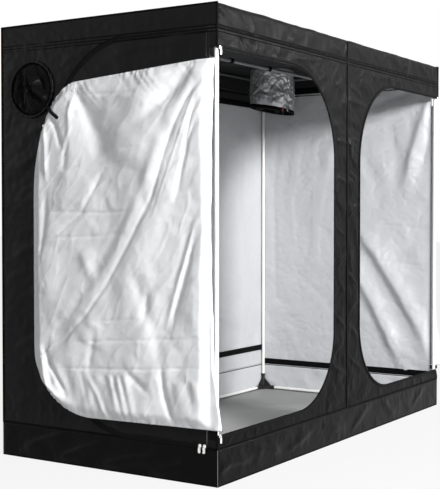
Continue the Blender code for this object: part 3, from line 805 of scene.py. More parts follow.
@dataclass(frozen=True)
class Fold:
    """One fold along a line: half width, height, sharpness, spread of its right side."""

    path: tuple[Point, ...]
    width: float
    height: float
    sharp: float = 0.0
    spread: float = 1.0

    def heights(self, points: np.ndarray) -> np.ndarray:
        """Returns how far the fold lifts each point.

        Args:
            points: An array of points on the flat cloth.

        Returns:
            The heights.
        """
        corners = np.array(self.path, float)
        runs = np.linalg.norm(np.diff(corners, axis=0), axis=1)
        total = runs.sum()
        best = np.full(len(points), np.inf)
        along = np.zeros(len(points))
        width = np.full(len(points), self.width)
        done = 0.0
        for start, end, run in zip(corners, corners[1:], runs):
            away, share = segment_distance(points, start, end).T
            closer = away < best
            step, reach = end - start, points - start
            right = reach[:, 0] * step[1] > reach[:, 1] * step[0]
            width = np.where(closer, self.width * np.where(right, self.spread, 1.0), width)
            best = np.where(closer, away, best)
            along = np.where(closer, (done + share * run) / total, along)
            done += run
        reach = best / width
        soft, keen = np.exp(-reach * reach), np.exp(-1.6 * reach)
        shape = soft * (1 - self.sharp) + keen * self.sharp
        ends = eased(np.minimum(along, 1 - along) / 0.22)
        return self.height * shape * (0.35 + 0.65 * ends)


@dataclass(frozen=True)
class Pleats:
    """Small pleats that run off a sewn line, on one side of it or on both."""

    start: Point
    end: Point
    pitch: float
    height: float
    reach: float
    slant: float = 0.0
    side: int = 0

    def heights(self, points: np.ndarray) -> np.ndarray:
        """Returns how far the pleats lift each point.

        Args:
            points: An array of points on the flat cloth.

        Returns:
            The heights.
        """
        start, end = np.array(self.start), np.array(self.end)
        length = np.linalg.norm(end - start)
        run = (end - start) / length
        along = (points - start) @ run
        off = (points - start) @ np.array([-run[1], run[0]])
        away, side = np.abs(off), np.sign(off)
        shown = 1.0 if self.side == 0 else (side == self.side)
        ends = eased(np.minimum(along, length - along) / (2 * self.pitch) + 0.5)
        place = (along + self.slant * away) / self.pitch
        wave = np.sin(math.tau * place + 2.1 * np.sin(place * 1.7) + 1.3 * np.sin(place * 0.61))
        patch = 0.55 + 0.45 * np.sin(place * 0.83 + 1.1)
        rise = 1 - np.exp(-away / (0.18 * self.reach))
        return self.height * wave * patch * ends * shown * rise * np.exp(-away / self.reach)


def level_pleats(half: float, *rows: Sequence[float]) -> tuple[Pleats, ...]:
    """Sets pleats along level lines.

    Args:
        half: How far the lines run to each side of the middle.
        *rows: Each line's height and its pleats' pitch, height, reach, slant and side.

    Returns:
        The pleats.
    """
    return tuple(Pleats((-half, level), (half, level), *sizes) for level, *sizes in rows)


@dataclass(frozen=True)
class Relief:
    """How a panel stands off its flat plane: swells, creases, folds and pleats."""

    folds: tuple[Fold, ...] = ()
    pleats: tuple[Pleats, ...] = ()
    ridges: tuple[Fold, ...] = ()
    swell: float = 0.002
    swell_size: float = 0.30
    crumple: float = 0.0015
    crumple_size: float = 0.11
    stretch: Point = (1.0, 1.0)
    turn: float = 0.0
    rise: float = 0.0
    fade: float = 0.05
    pleat_fade: float = 0.006
    margin: float = 0.0
    low: float = -0.0010
    high: float = 0.010
    seed: int = 1

    def waves(self, points: np.ndarray, size: float, seed: int) -> np.ndarray:
        """Returns smooth wander between about minus one and one.

        Args:
            points: An array of points on the flat cloth.
            size: The usual distance from crest to crest.
            seed: Which wander.

        Returns:
            The values.
        """
        chance = np.random.default_rng(seed)
        total = np.zeros(len(points))
        count = 22
        for _ in range(count):
            turn = chance.uniform(0, math.tau)
            length = size * chance.uniform(0.6, 2.2)
            along, across = np.array([math.cos(turn), math.sin(turn)]) / length / self.stretch
            c, s = math.cos(self.turn), math.sin(self.turn)
            step = np.array([along * c - across * s, along * s + across * c])
            total += np.sin(math.tau * (points @ step) + chance.uniform(0, math.tau))
        return total / math.sqrt(count) * 0.8

    def heights(self, points: np.ndarray, edge: np.ndarray) -> np.ndarray:
        """Returns how far each point stands off the flat cloth.

        Args:
            points: An array of points on the flat cloth.
            edge: Each point's distance from the nearest sewn edge.

        Returns:
            The heights, kept between the relief's limits.
        """
        edge = np.maximum(edge - self.margin, 0.0)
        total = self.rise + self.swell * self.waves(points, self.swell_size, self.seed)
        for step, share in ((1.0, 1.0), (0.45, 0.4)):
            ridge = np.abs(self.waves(points, self.crumple_size * step, self.seed + 17))
            total += self.crumple * share * (np.clip(1 - 2.4 * ridge, 0, 1) ** 1.6 - 0.15)
        for fold in self.folds:
            total += fold.heights(points)
        total *= eased(edge / self.fade)
        for pleats in self.pleats:
            total += pleats.heights(points) * eased(edge / self.pleat_fade)
        rise = self.high * np.tanh(np.maximum(total, 0) / self.high)
        drop = -self.low * np.tanh(np.minimum(total, 0) / -self.low)
        total = rise + drop
        for ridge in self.ridges:
            total -= ridge.heights(points) * eased(edge / self.fade)
        return total


@dataclass(frozen=True)
class Plane:
    """A flat place in the tent, with the direction that faces out of it."""

    origin: Place
    across: Place
    up: Place
    out: Place

    def place(self, points: np.ndarray, heights: np.ndarray) -> np.ndarray:
        """Lifts flat points into the tent.

        Args:
            points: An array of points on the plane.
            heights: How far each stands out.

        Returns:
            An array of places in the tent.
        """
        axes = np.array([self.across, self.up, self.out], float)
        return np.array(self.origin) + np.column_stack([points, heights]) @ axes

    def flips(self) -> bool:
        """Returns whether faces drawn on the plane look inwards."""
        return float(np.cross(self.across, self.up) @ np.array(self.out)) < 0

    def behind(self, depth: float) -> "Plane":
        """Returns the cloth's far face, `depth` behind the plane."""
        origin = tuple(part - way * depth for part, way in zip(self.origin, self.out))
        return Plane(origin, self.across, self.up, tuple(-way for way in self.out))


FRONT = Plane((0.0, -0.6, 0.0), (1, 0, 0), (0, 0, 1), (0, -1, 0))
BACK = Plane((0.0, 0.6, 0.0), (1, 0, 0), (0, 0, 1), (0, 1, 0))
LEFT = Plane((-1.2, 0.0, 0.0), (0, 1, 0), (0, 0, 1), (-1, 0, 0))
RIGHT = Plane((1.2, 0.0, 0.0), (0, 1, 0), (0, 0, 1), (1, 0, 0))
GROUND = Plane((0.0, 0.0, 0.0015), (1, 0, 0), (0, 1, 0), (0, 0, 1))


def new_piece(name: str, points: np.ndarray, faces: Sequence[Sequence[int]]) -> bpy.types.Object:
    """Makes a smooth mesh piece and links it to the scene.

    Args:
        name: The piece's name.
        points: Its points.
        faces: Its faces, as indices of points.

    Returns:
        The piece.
    """
    mesh = bpy.data.meshes.new(name)
    mesh.from_pydata([tuple(point) for point in points], [], [tuple(face) for face in faces])
    mesh.validate()
    mesh.shade_smooth()
    piece = bpy.data.objects.new(name, mesh)
    bpy.context.scene.collection.objects.link(piece)
    return piece


def grid_faces(rows: int, size: int, looped: bool = True, ringed: bool = True,
               first: int = 0) -> list[tuple[int, ...]]:
    """Lists the faces between rows of points.

    Args:
        rows: How many rows there are.
        size: How many points each row has.
        looped: Whether the last row joins the first.
        ringed: Whether each row's last point joins its first.
        first: The first point's index.

    Returns:
        The faces, which run from a row to the next and then along it.
    """
    faces = []
    for row in range(rows if looped else rows - 1):
        here, there = first + row * size, first + (row + 1) % rows * size
        for k in range(size if ringed else size - 1):
            after = (k + 1) % size
            faces.append((here + k, there + k, there + after, here + after))
    return faces


def turned_over(faces: Sequence[tuple[int, ...]]) -> list[tuple[int, ...]]:
    """Returns the faces looking the other way, each from the same first point."""
    return [(face[0], *face[:0:-1]) for face in faces]


def thicken(piece: bpy.types.Object, thickness: float = TENT.cloth, inner: int = 1,
            offset: float = -1.0) -> None:
    """Gives a cloth its thickness, with another finish on its far side.

    Args:
        piece: The cloth.
        thickness: Its thickness.
        inner: How many material slots further its far side's finish is.
        offset: -1 grows against the faces, 1 along them.
    """
    solid = piece.modifiers.new("cloth thickness", "SOLIDIFY")
    solid.thickness = thickness
    solid.offset = offset
    solid.use_even_offset = False
    solid.material_offset = inner
    solid.use_quality_normals = True


@dataclass
class ClothPanel:
    """A flat cut of cloth, triangulated, set on a plane and given its relief."""

    name: str
    plane: Plane
    outline: Loop
    relief: Relief
    holes: tuple[Loop, ...] = ()
    spacing: float = 0.014
    place: Optional[Callable[[np.ndarray, np.ndarray], np.ndarray]] = None
    area: float = field(default=0.0, init=False)
    flat: np.ndarray = field(default=None, init=False)

    ROW_SHARE = 0.87
    CLEAR_SHARE = 0.55

    def build(self) -> bpy.types.Object:
        """Cuts, lays and lifts the cloth.

        Returns:
            The piece, one face thick.
        """
        cuts = [self.outline, *self.holes]
        loops = [resample(loop, self.spacing) for loop in cuts]
        border = [point for loop in loops for point in loop]
        edges, first = [], 0
        for loop in loops:
            count = len(loop)
            edges += [(first + i, first + (i + 1) % count) for i in range(count)]
            first += count
        low, high = np.min(loops[0], axis=0), np.max(loops[0], axis=0)
        row_step = self.spacing * self.ROW_SHARE
        rows = []
        for index, height in enumerate(np.arange(low[1] + row_step, high[1], row_step)):
            start = low[0] + self.spacing * (0.5 + 0.5 * (index % 2))
            across = np.arange(start, high[0], self.spacing)
            rows.append(np.column_stack([across, np.full(len(across), height)]))
        grid = np.concatenate(rows)
        grid = grid[inside(grid, loops)]
        grid = grid[edge_distance(grid, cuts) > self.CLEAR_SHARE * self.spacing]
        points = [Vector(point) for point in border] + [Vector(point) for point in grid]
        verts, _, faces, _, _, _ = delaunay_2d_cdt(points, edges, [], 0, 1e-7)
        flat = np.array([tuple(vert) for vert in verts], float)
        faces = np.array([tuple(face) for face in faces], int)
        faces = faces[inside(flat[faces].mean(axis=1), loops)]
        used = np.unique(faces)
        renumber = np.zeros(len(flat), int)
        renumber[used] = np.arange(len(used))
        flat, faces = flat[used], renumber[faces]
        first, second, third = flat[faces[:, 0]], flat[faces[:, 1]], flat[faces[:, 2]]
        crossed = np.cross(second - first, third - first)
        faces[crossed < 0] = faces[crossed < 0][:, ::-1]
        self.area = float(np.abs(crossed).sum() / 2)
        self.flat = flat
        heights = self.relief.heights(flat, edge_distance(flat, cuts))
        place = self.place or self.plane.place
        if self.place is None and self.plane.flips():
            faces = faces[:, ::-1]
        return new_piece(self.name, place(flat, heights), faces)

    def sides(self) -> Point:
        """Returns the width and length of the rectangle that the cut fits in."""
        width, length = self.flat.max(axis=0) - self.flat.min(axis=0)
        return float(width), float(length)


def declare_sheet(
    sides: Point, area: float
) -> None:
    """Works out a cloth's width from the size that it was cut to; nothing keeps the result.

    Args:
        sides: The cut's width and length.
        area: The cut's area.
    """
    width, length = sides
    if area < 0.3 * width * length:
        width = area / length


# Trim that follows a line


@dataclass(frozen=True)
class Trail:
    """A line in the tent that stitches, teeth or piping follow, and what it faces."""

    points: tuple[Place, ...]
    facing: Place
    closed: bool = False

    @staticmethod
    def on(plane: Plane, path: Loop, lift: float = 0.0, closed: bool = False) -> "Trail":
        """Draws a trail on a plane.

        Args:
            plane: The plane.
            path: The line on it.
            lift: How far the trail stands out.
            closed: Whether the line joins up.

        Returns:
            The trail.
        """
        flat = np.array(path, float)
        places = plane.place(flat, np.full(len(flat), lift))
        return Trail(tuple(tuple(place) for place in places), plane.out, closed)


class TrimKit:
    """Geometry node trees for stitches, zip teeth and piping, and the sewing of cloth."""

    STITCH_SIZES = {"Height": 0.0012, "Wander": 0.16}
    TOOTH_SIZES = {"Pitch": 0.0034, "Length": 0.0019, "Width": 0.0052, "Height": 0.0016,
                   "Wander": 0.03}
    TAPE_PROFILE = ((-0.5, 0.0), (-0.5, 0.6), (-0.25, 0.95), (0.25, 0.95), (0.5, 0.6), (0.5, 0.0))
    STEP = 0.012
    BAND_LIFT, BAND_THICKNESS = 0.0001, 0.0016

    def __init__(self, wardrobe: Wardrobe) -> None:
        """Builds the trees.

        Args:
            wardrobe: Where the finishes come from.
        """
        self.wardrobe = wardrobe
        self.trees = {bead: self._bead_tree(bead) for bead in Bead}
        self.tube = self._tube_tree()

    @staticmethod
    def _open(
        name: str, sizes: Feeds, step: str
    ) -> tuple[NodeGraph, bpy.types.NodeOutputs, bpy.types.NodeInputs, bpy.types.NodeSocket]:
        """Starts a tree that follows a trail.

        Args:
            name: The tree's name.
            sizes: Each size's name and usual value.
            step: The size that says how far apart the trail's points come.

        Returns:
            The tree's graph, what is given to it, its results and the trail's curve.
        """
        inputs = {"Geometry": "Geometry", **sizes, "Material": "Material"}
        graph, given, result = open_group(name, "Geometry", inputs, ("Geometry",))
        curve = graph.add("GeometryNodeMeshToCurve", {"Mesh": given["Geometry"]}).outputs["Curve"]
        row = {"Curve": curve, "Length": given[step]}
        row = graph.add("GeometryNodeResampleCurve", row, mode="LENGTH").outputs["Curve"]
        return graph, given, result, row

    @staticmethod
    def _close(graph: NodeGraph, shape: bpy.types.NodeSocket, given: bpy.types.NodeOutputs,
               result: bpy.types.NodeInputs, smooth: Optional[bool] = None) -> bpy.types.NodeTree:
        """Makes a tree's shape real and gives it its finish.

        Args:
            graph: The tree's graph.
            shape: The shape.
            given: What is given to the tree.
            result: Its results.
            smooth: Whether the shape is shaded smooth; nothing leaves it as it is.

        Returns:
            The tree.
        """
        real = graph.add("GeometryNodeRealizeInstances", {"Geometry": shape}).outputs[0]
        if smooth is not None:
            shade = {"Geometry": real, "Shade Smooth": smooth}
            real = graph.add("GeometryNodeSetShadeSmooth", shade).outputs[0]
        paint = {"Geometry": real, "Material": given["Material"]}
        graph.feed(result["Geometry"], graph.add("GeometryNodeSetMaterial", paint).outputs[0])
        return graph.tree

    def _bead_tree(self, bead: Bead) -> bpy.types.NodeTree:
        """Builds the tree that repeats a small bead along a trail.

        Args:
            bead: Which bead.

        Returns:
            The tree.
        """
        sizes = {"Pitch": 0.012, "Length": 0.007, "Width": 0.0016, "Height": 0.0008, "Wander": 0.1}
        graph, given, result, row = self._open(f"{bead.value} row", sizes, "Pitch")
        align = "FunctionNodeAlignRotationToVector"
        tangent = graph.add("GeometryNodeInputTangent").outputs["Tangent"]
        facing = graph.add("GeometryNodeInputNamedAttribute", {"Name": "facing"},
                           data_type="FLOAT_VECTOR").outputs["Attribute"]
        along = graph.add(align, {"Vector": tangent}, axis="X").outputs["Rotation"]
        flat = {"Rotation": along, "Vector": facing}
        flat = graph.add(align, flat, axis="Z", pivot_axis="X").outputs["Rotation"]
        if bead is Bead.STITCH:
            sphere = {"Segments": 6, "Rings": 4, "Radius": 0.5}
            shape = graph.add("GeometryNodeMeshUVSphere", sphere)
        else:
            shape = graph.add("GeometryNodeMeshCube", {"Size": (1.0, 1.0, 1.0)})
        size = {axis: given[label] for axis, label in zip("XYZ", ("Length", "Width", "Height"))}
        size = graph.add("ShaderNodeCombineXYZ", size).outputs[0]
        spread = {2: graph.math("SUBTRACT", 1.0, given["Wander"]),
                  3: graph.math("ADD", 1.0, given["Wander"]), "Seed": 7}
        spread = graph.add("FunctionNodeRandomValue", spread, data_type="FLOAT").outputs[1]
        grown = graph.add("ShaderNodeVectorMath", {0: size, "Scale": spread}, operation="SCALE")
        beads = {"Points": row, "Instance": shape.outputs["Mesh"], "Rotation": flat,
                 "Scale": grown.outputs[0]}
        beads = graph.add("GeometryNodeInstanceOnPoints", beads).outputs["Instances"]
        return self._close(graph, beads, given, result, bead is Bead.STITCH)

    def _tube_tree(self) -> bpy.types.NodeTree:
        """Returns the tree that runs a round cord of piping along a trail."""
        sizes = {"Radius": 0.002, "Step": 0.01}
        graph, given, result, row = self._open("piping run", sizes, "Step")
        ring = {"Resolution": 8, "Radius": given["Radius"]}
        ring = graph.add("GeometryNodeCurvePrimitiveCircle", ring).outputs["Curve"]
        tube = {"Curve": row, "Profile Curve": ring, "Fill Caps": True}
        tube = graph.add("GeometryNodeCurveToMesh", tube).outputs["Mesh"]
        return self._close(graph, tube, given, result)

    def _grow(self, name: str, trails: Sequence[Trail], tree: bpy.types.NodeTree,
              look: Look, sizes: Feeds, body: str = Body.TENT.value) -> bpy.types.Object:
        """Runs a tree along trails and keeps the result as a plain mesh.

        Args:
            name: The piece's name.
            trails: The lines to follow.
            tree: The geometry tree.
            look: The piece's finish.
            sizes: Values for the tree's named inputs.
            body: The name of the body that the piece rides on.

        Returns:
            The piece.
        """
        places, edges, facings = [], [], []
        for trail in trails:
            first, count = len(places), len(trail.points)
            places += trail.points
            facings += [trail.facing] * count
            edges += [(first + i, first + i + 1) for i in range(count - 1)]
            if trail.closed:
                edges.append((first + count - 1, first))
        mesh = bpy.data.meshes.new(name)
        mesh.from_pydata(places, edges, [])
        layer = mesh.attributes.new("facing", "FLOAT_VECTOR", "POINT")
        layer.data.foreach_set("vector", np.array(facings, np.float32).ravel())
        piece = bpy.data.objects.new(name, mesh)
        bpy.context.scene.collection.objects.link(piece)
        modifier = piece.modifiers.new("trim", "NODES")
        modifier.node_group = tree
        values = {**sizes, "Material": self.wardrobe.material(look)}
        for item in tree.interface.items_tree:
            if item.in_out == "INPUT" and item.name in values:
                modifier[item.identifier] = values[item.name]
        graph = bpy.context.evaluated_depsgraph_get()
        made = bpy.data.meshes.new_from_object(piece.evaluated_get(graph))
        piece.modifiers.remove(modifier)
        piece.data = made
        bpy.data.meshes.remove(mesh)
        made.name = name
        self.wardrobe.finish(piece, look, body=body)
        return piece

    def stitches(self, name: str, trails: Sequence[Trail], look: Look = Look.DARK_THREAD,
                 pitch: float = 0.008, length: float = 0.005, width: float = 0.0016,
                 body: str = Body.TENT.value) -> None:
        """Sews rows of stitches.

        Args:
            name: The piece's name.
            trails: The rows.
            look: The thread's finish.
            pitch: The distance from stitch to stitch.
            length: A stitch's length.
            width: A stitch's width.
            body: The name of the body that they ride on.
        """
        sizes = {"Pitch": pitch, "Length": length, "Width": width, **self.STITCH_SIZES}
        self._grow(name, trails, self.trees[Bead.STITCH], look, sizes, body)

    def teeth(self, name: str, trails: Sequence[Trail], body: str = Body.TENT.value) -> None:
        """Sets rows of zip teeth.

        Args:
            name: The piece's name.
            trails: The rows.
            body: The name of the body that they ride on.
        """
        self._grow(name, trails, self.trees[Bead.TOOTH], Look.TEETH, self.TOOTH_SIZES, body)

    def piping(self, name: str, trails: Sequence[Trail], look: Look = Look.PIPING,
               radius: float = 0.0024) -> None:
        """Runs piping, smooth all round, along seams.

        Args:
            name: The piece's name.
            trails: The seams.
            look: The piping's finish.
            radius: Its radius.
        """
        sizes = {"Radius": radius, "Step": self.STEP}
        self._grow(name, trails, self.tube, look, sizes).data.shade_smooth()

    def tape(self, name: str, bands: Sequence[tuple[Plane, Loop, float]], look: Look,
             width: float, thickness: float = 0.0012, closed: bool = False,
             node: str = "") -> None:
        """Lays flat tape, a little crowned, along lines on planes.

        Args:
            name: The piece's name.
            bands: Each band's plane, line and lift off the plane.
            look: The tape's finish.
            width: The tape's width.
            thickness: The tape's thickness.
            closed: Whether the lines join up.
            node: The frame's node that it stands for, if there is one.
        """
        size = len(self.TAPE_PROFILE)
        places, faces = [], []
        for plane, path, lift in bands:
            line = np.array(resample(path, self.STEP, closed), float)
            before, after = np.roll(line, 1, axis=0), np.roll(line, -1, axis=0)
            if not closed:
                before[0], after[-1] = line[0], line[-1]
            run = after - before
            run /= np.linalg.norm(run, axis=1)[:, None]
            across = np.column_stack([run[:, 1], -run[:, 0]])
            first, count = len(places), len(line)
            rings = [
                plane.place(line + across * (width * u), np.full(count, lift + thickness * h))
                for u, h in self.TAPE_PROFILE
            ]
            places += [tuple(ring[i]) for i in range(count) for ring in rings]
            drawn = turned_over(grid_faces(count, size, closed, first=first))
            if not closed:
                head, tail = range(first, first + size), range(len(places) - size, len(places))
                drawn += [tuple(head)[::-1], tuple(tail)]
            faces += [face[::-1] for face in drawn] if plane.flips() else drawn
        self.wardrobe.finish(new_piece(name, np.array(places), faces), look, node=node)

    def hang(self, cut: ClothPanel, looks: Sequence[Look], node: str, held: str,
             rests_on: Sequence[str], sides: Optional[Point] = None,
             dark: float = math.inf) -> None:
        """Args:
            cut: The panel.
            looks: The cloth's finishes, with a second pair after them if it has one, whose far side
                is painted shade.
            node: The frame's node that it stands for.
            held: How the cloth is held; not used.
            rests_on: What it hangs from or lies on; not used.
            sides: The flat size, if it isn't the cut's own width and length.
            dark: The height above which the cloth has its second pair of finishes, whose far side
                is painted shade.
        """
        piece = cut.build()
        thicken(piece)
        self.wardrobe.finish(piece, *looks, node=node)
        # Above this height the faces take the second pair, whose far side is painted shade.
        for face in piece.data.polygons:
            if face.center.z > dark:
                face.material_index = 2
        declare_sheet(sides or cut.sides(), cut.area)

    def inner_bands(self, name: str, plane: Plane, span: Point, bands: Sequence[Point]) -> None:
        """Sews black webbing bands on a wall's inside.

        Args:
            name: The piece's name.
            plane: The wall's outer face.
            span: Where the bands start and end.
            bands: Each band's lowest and highest height.
        """
        widths = [high - low for low, high in bands]
        inner = plane.behind(TENT.cloth)
        lines = [(inner, [(end, (low + high) / 2) for end in span], self.BAND_LIFT)
                 for low, high in bands]
        self.tape(name, lines, Look.WEBBING, sum(widths) / len(widths), self.BAND_THICKNESS)


# The studio


@dataclass
class Studio:
    """The camera, the light and the floor of the picture."""

    eye: Place = (-5.0465, -3.0817, 1.1269)
    heading: float = 57.2956
    pitch: float = -1.5106
    lens: float = 82.04
    sensor: float = 36.0
    sight: float = 200.0
    fill: float = 0.15
    floor_reach: float = 40.0
    floor_drop: float = 0.0005
    floor_glow: float = 0.86

    LAMPS = (
        ("front softbox", (-2.6, -6.0, 3.0), (0.2, 0.0, 0.9), 740.0, (1.4, 1.1)),
        ("back softbox", (-4.2, 4.8, 2.4), (-0.6, 0.2, 1.0), 18.0, (1.6, 1.3)),
        ("right softbox", (4.4, -5.4, 3.4), (0.0, -0.4, 0.9), 240.0, (1.0, 0.8)),
    )

    def build(self) -> None:
        """Sets up the camera, the world, the lamps and the floor."""
        self._camera()
        self._world()
        for lamp in self.LAMPS:
            self._lamp(*lamp)
        self._floor()
        bpy.context.scene.view_settings.view_transform = "Standard"

    def _camera(self) -> None:
        """Stands the camera where the photograph was taken from."""
        data = bpy.data.cameras.new("photo view")
        data.lens = self.lens
        data.sensor_width = self.sensor
        data.clip_end = self.sight
        camera = bpy.data.objects.new("photo view", data)
        bpy.context.scene.collection.objects.link(camera)
        turn, tilt = math.radians(self.heading), math.radians(self.pitch)
        ahead = Vector(
            (math.sin(turn) * math.cos(tilt), math.cos(turn) * math.cos(tilt), math.sin(tilt))
        )
        camera.location = self.eye
        camera.rotation_euler = ahead.to_track_quat("-Z", "Y").to_euler()
        bpy.context.scene.camera = camera

    def _world(self) -> None:
        """Makes the background white and its light on the tent plain."""
        world = bpy.data.worlds.new("white studio")
        bpy.context.scene.world = world
        world.use_nodes = True
        world.node_tree.nodes.clear()
        graph = NodeGraph(world.node_tree)
        through = graph.add("ShaderNodeLightPath").outputs["Is Transmission Ray"]
        seen = graph.math("MAXIMUM", graph.seen(), through)
        white = {"Color": (1.0, 1.0, 1.0, 1.0)}
        plain = graph.add("ShaderNodeBackground", {**white, "Strength": self.fill}).outputs[0]
        bright = graph.add("ShaderNodeBackground", white).outputs[0]
        mix = graph.add("ShaderNodeMixShader", {0: seen, 1: plain, 2: bright}).outputs[0]
        graph.add("ShaderNodeOutputWorld", {"Surface": mix})

    @staticmethod
    def _lamp(name: str, place: Place, target: Place, power: float, sides: Point) -> None:
        """Hangs one soft lamp.

        Args:
            name: The lamp's name.
            place: Where it hangs.
            target: What it points at.
            power: Its power, in watts.
            sides: Its width and height.
        """
        data = bpy.data.lights.new(name, "AREA")
        data.shape = "RECTANGLE"
        data.size, data.size_y = sides
        data.energy = power
        lamp = bpy.data.objects.new(name, data)
        bpy.context.scene.collection.objects.link(lamp)
        lamp.location = place
        aim = Vector(target) - Vector(place)
        lamp.rotation_euler = aim.to_track_quat("-Z", "Y").to_euler()
        lamp.visible_camera = False

    def _floor(self) -> None:
        """Lays the pale studio floor, which keeps the tent's shadow."""
        reach = self.floor_reach
        corners = ((-reach, -reach), (reach, -reach), (reach, reach), (-reach, reach))
        points = np.array([(*corner, -self.floor_drop) for corner in corners])
        floor = new_piece("studio_floor", points, [(0, 1, 2, 3)])
        material, graph, shader = new_material("pale studio floor")
        patch = graph.noise(graph.place(), 3.0)
        graph.fill(shader, {
            "Base Color": graph.mix(patch, (0.44, 0.44, 0.44), (0.47, 0.47, 0.47)),
            "Roughness": 0.8,
            "Specular IOR Level": 0.1,
        })
        glow = graph.add("ShaderNodeEmission", {"Strength": 1.0}).outputs[0]
        share = graph.math("MULTIPLY", graph.seen(), self.floor_glow)
        mix = {0: share, 1: shader.outputs["BSDF"], 2: glow}
        mix = graph.add("ShaderNodeMixShader", mix).outputs[0]
        output = next(node for node in graph.tree.nodes if node.type == "OUTPUT_MATERIAL")
        graph.feed(output.inputs["Surface"], mix)
        floor.data.materials.append(material)
        floor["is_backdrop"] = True


# The frame under the cloth


@dataclass
class Frame:
    """The poles, connectors, bar and zip hardware, which keep their CAD shapes."""

    wardrobe: Wardrobe
    nodes: dict[str, bpy.types.Object]
    looks: tuple[tuple[str, Look], ...] = (
        ("upright_", Look.PAINT),
        ("floor_rail_", Look.PAINT),
        # The top rails take the pole paint darkened as painted shade.
        ("top_rail_", Look.PAINTED_SHADE_RAIL),
        # The bar's grey is darkened further as painted shade.
        ("ceiling_bar", Look.BAR),
        ("bar_hanger_", Look.PLASTIC),
        ("corner_", Look.PLASTIC),
        ("tee_", Look.PLASTIC),
        ("zip_slider_", Look.NICKEL),
        ("zip_pull_", Look.NICKEL),
    )
    hooks: Point = (-0.141, 0.249)
    bar_height: float = 1.9259
    loop_radii: Point = (0.0112, 0.0132)
    loop_half: float = 0.014

    def build(self) -> None:
        """Dresses every rigid node in its finish."""
        for name, node in self.nodes.items():
            for start, look in self.looks:
                if name.startswith(start):
                    self.wardrobe.dress(node, look)

    def bar_clips(self, trims: TrimKit) -> None:
        """Hangs the two webbing loops that hold the lamp hooks on the ceiling bar.

        Args:
            trims: The trim kit.
        """
        places, faces = [], []
        rings = [arc((0.0, self.bar_height), radius, 0, 360, 20)[:-1] for radius in self.loop_radii]
        count = len(rings[0])
        far = 2 * count
        for x in self.hooks:
            first = len(places)
            for along in (x - self.loop_half, x + self.loop_half):
                places += [(along, *point) for ring in rings for point in ring]
            for i in range(count):
                inner_a, inner_n = first + i, first + (i + 1) % count
                outer_a, outer_n = inner_a + count, inner_n + count
                faces += [
                    (outer_a, outer_n, outer_n + far, outer_a + far),
                    (inner_n, inner_a, inner_a + far, inner_n + far),
                    (inner_a, inner_n, outer_n, outer_a),
                    (outer_a + far, outer_n + far, inner_n + far, inner_a + far),
                ]
        trims.wardrobe.finish(new_piece("bar_webbing_loops", np.array(places), faces), Look.WEBBING)


# The cover


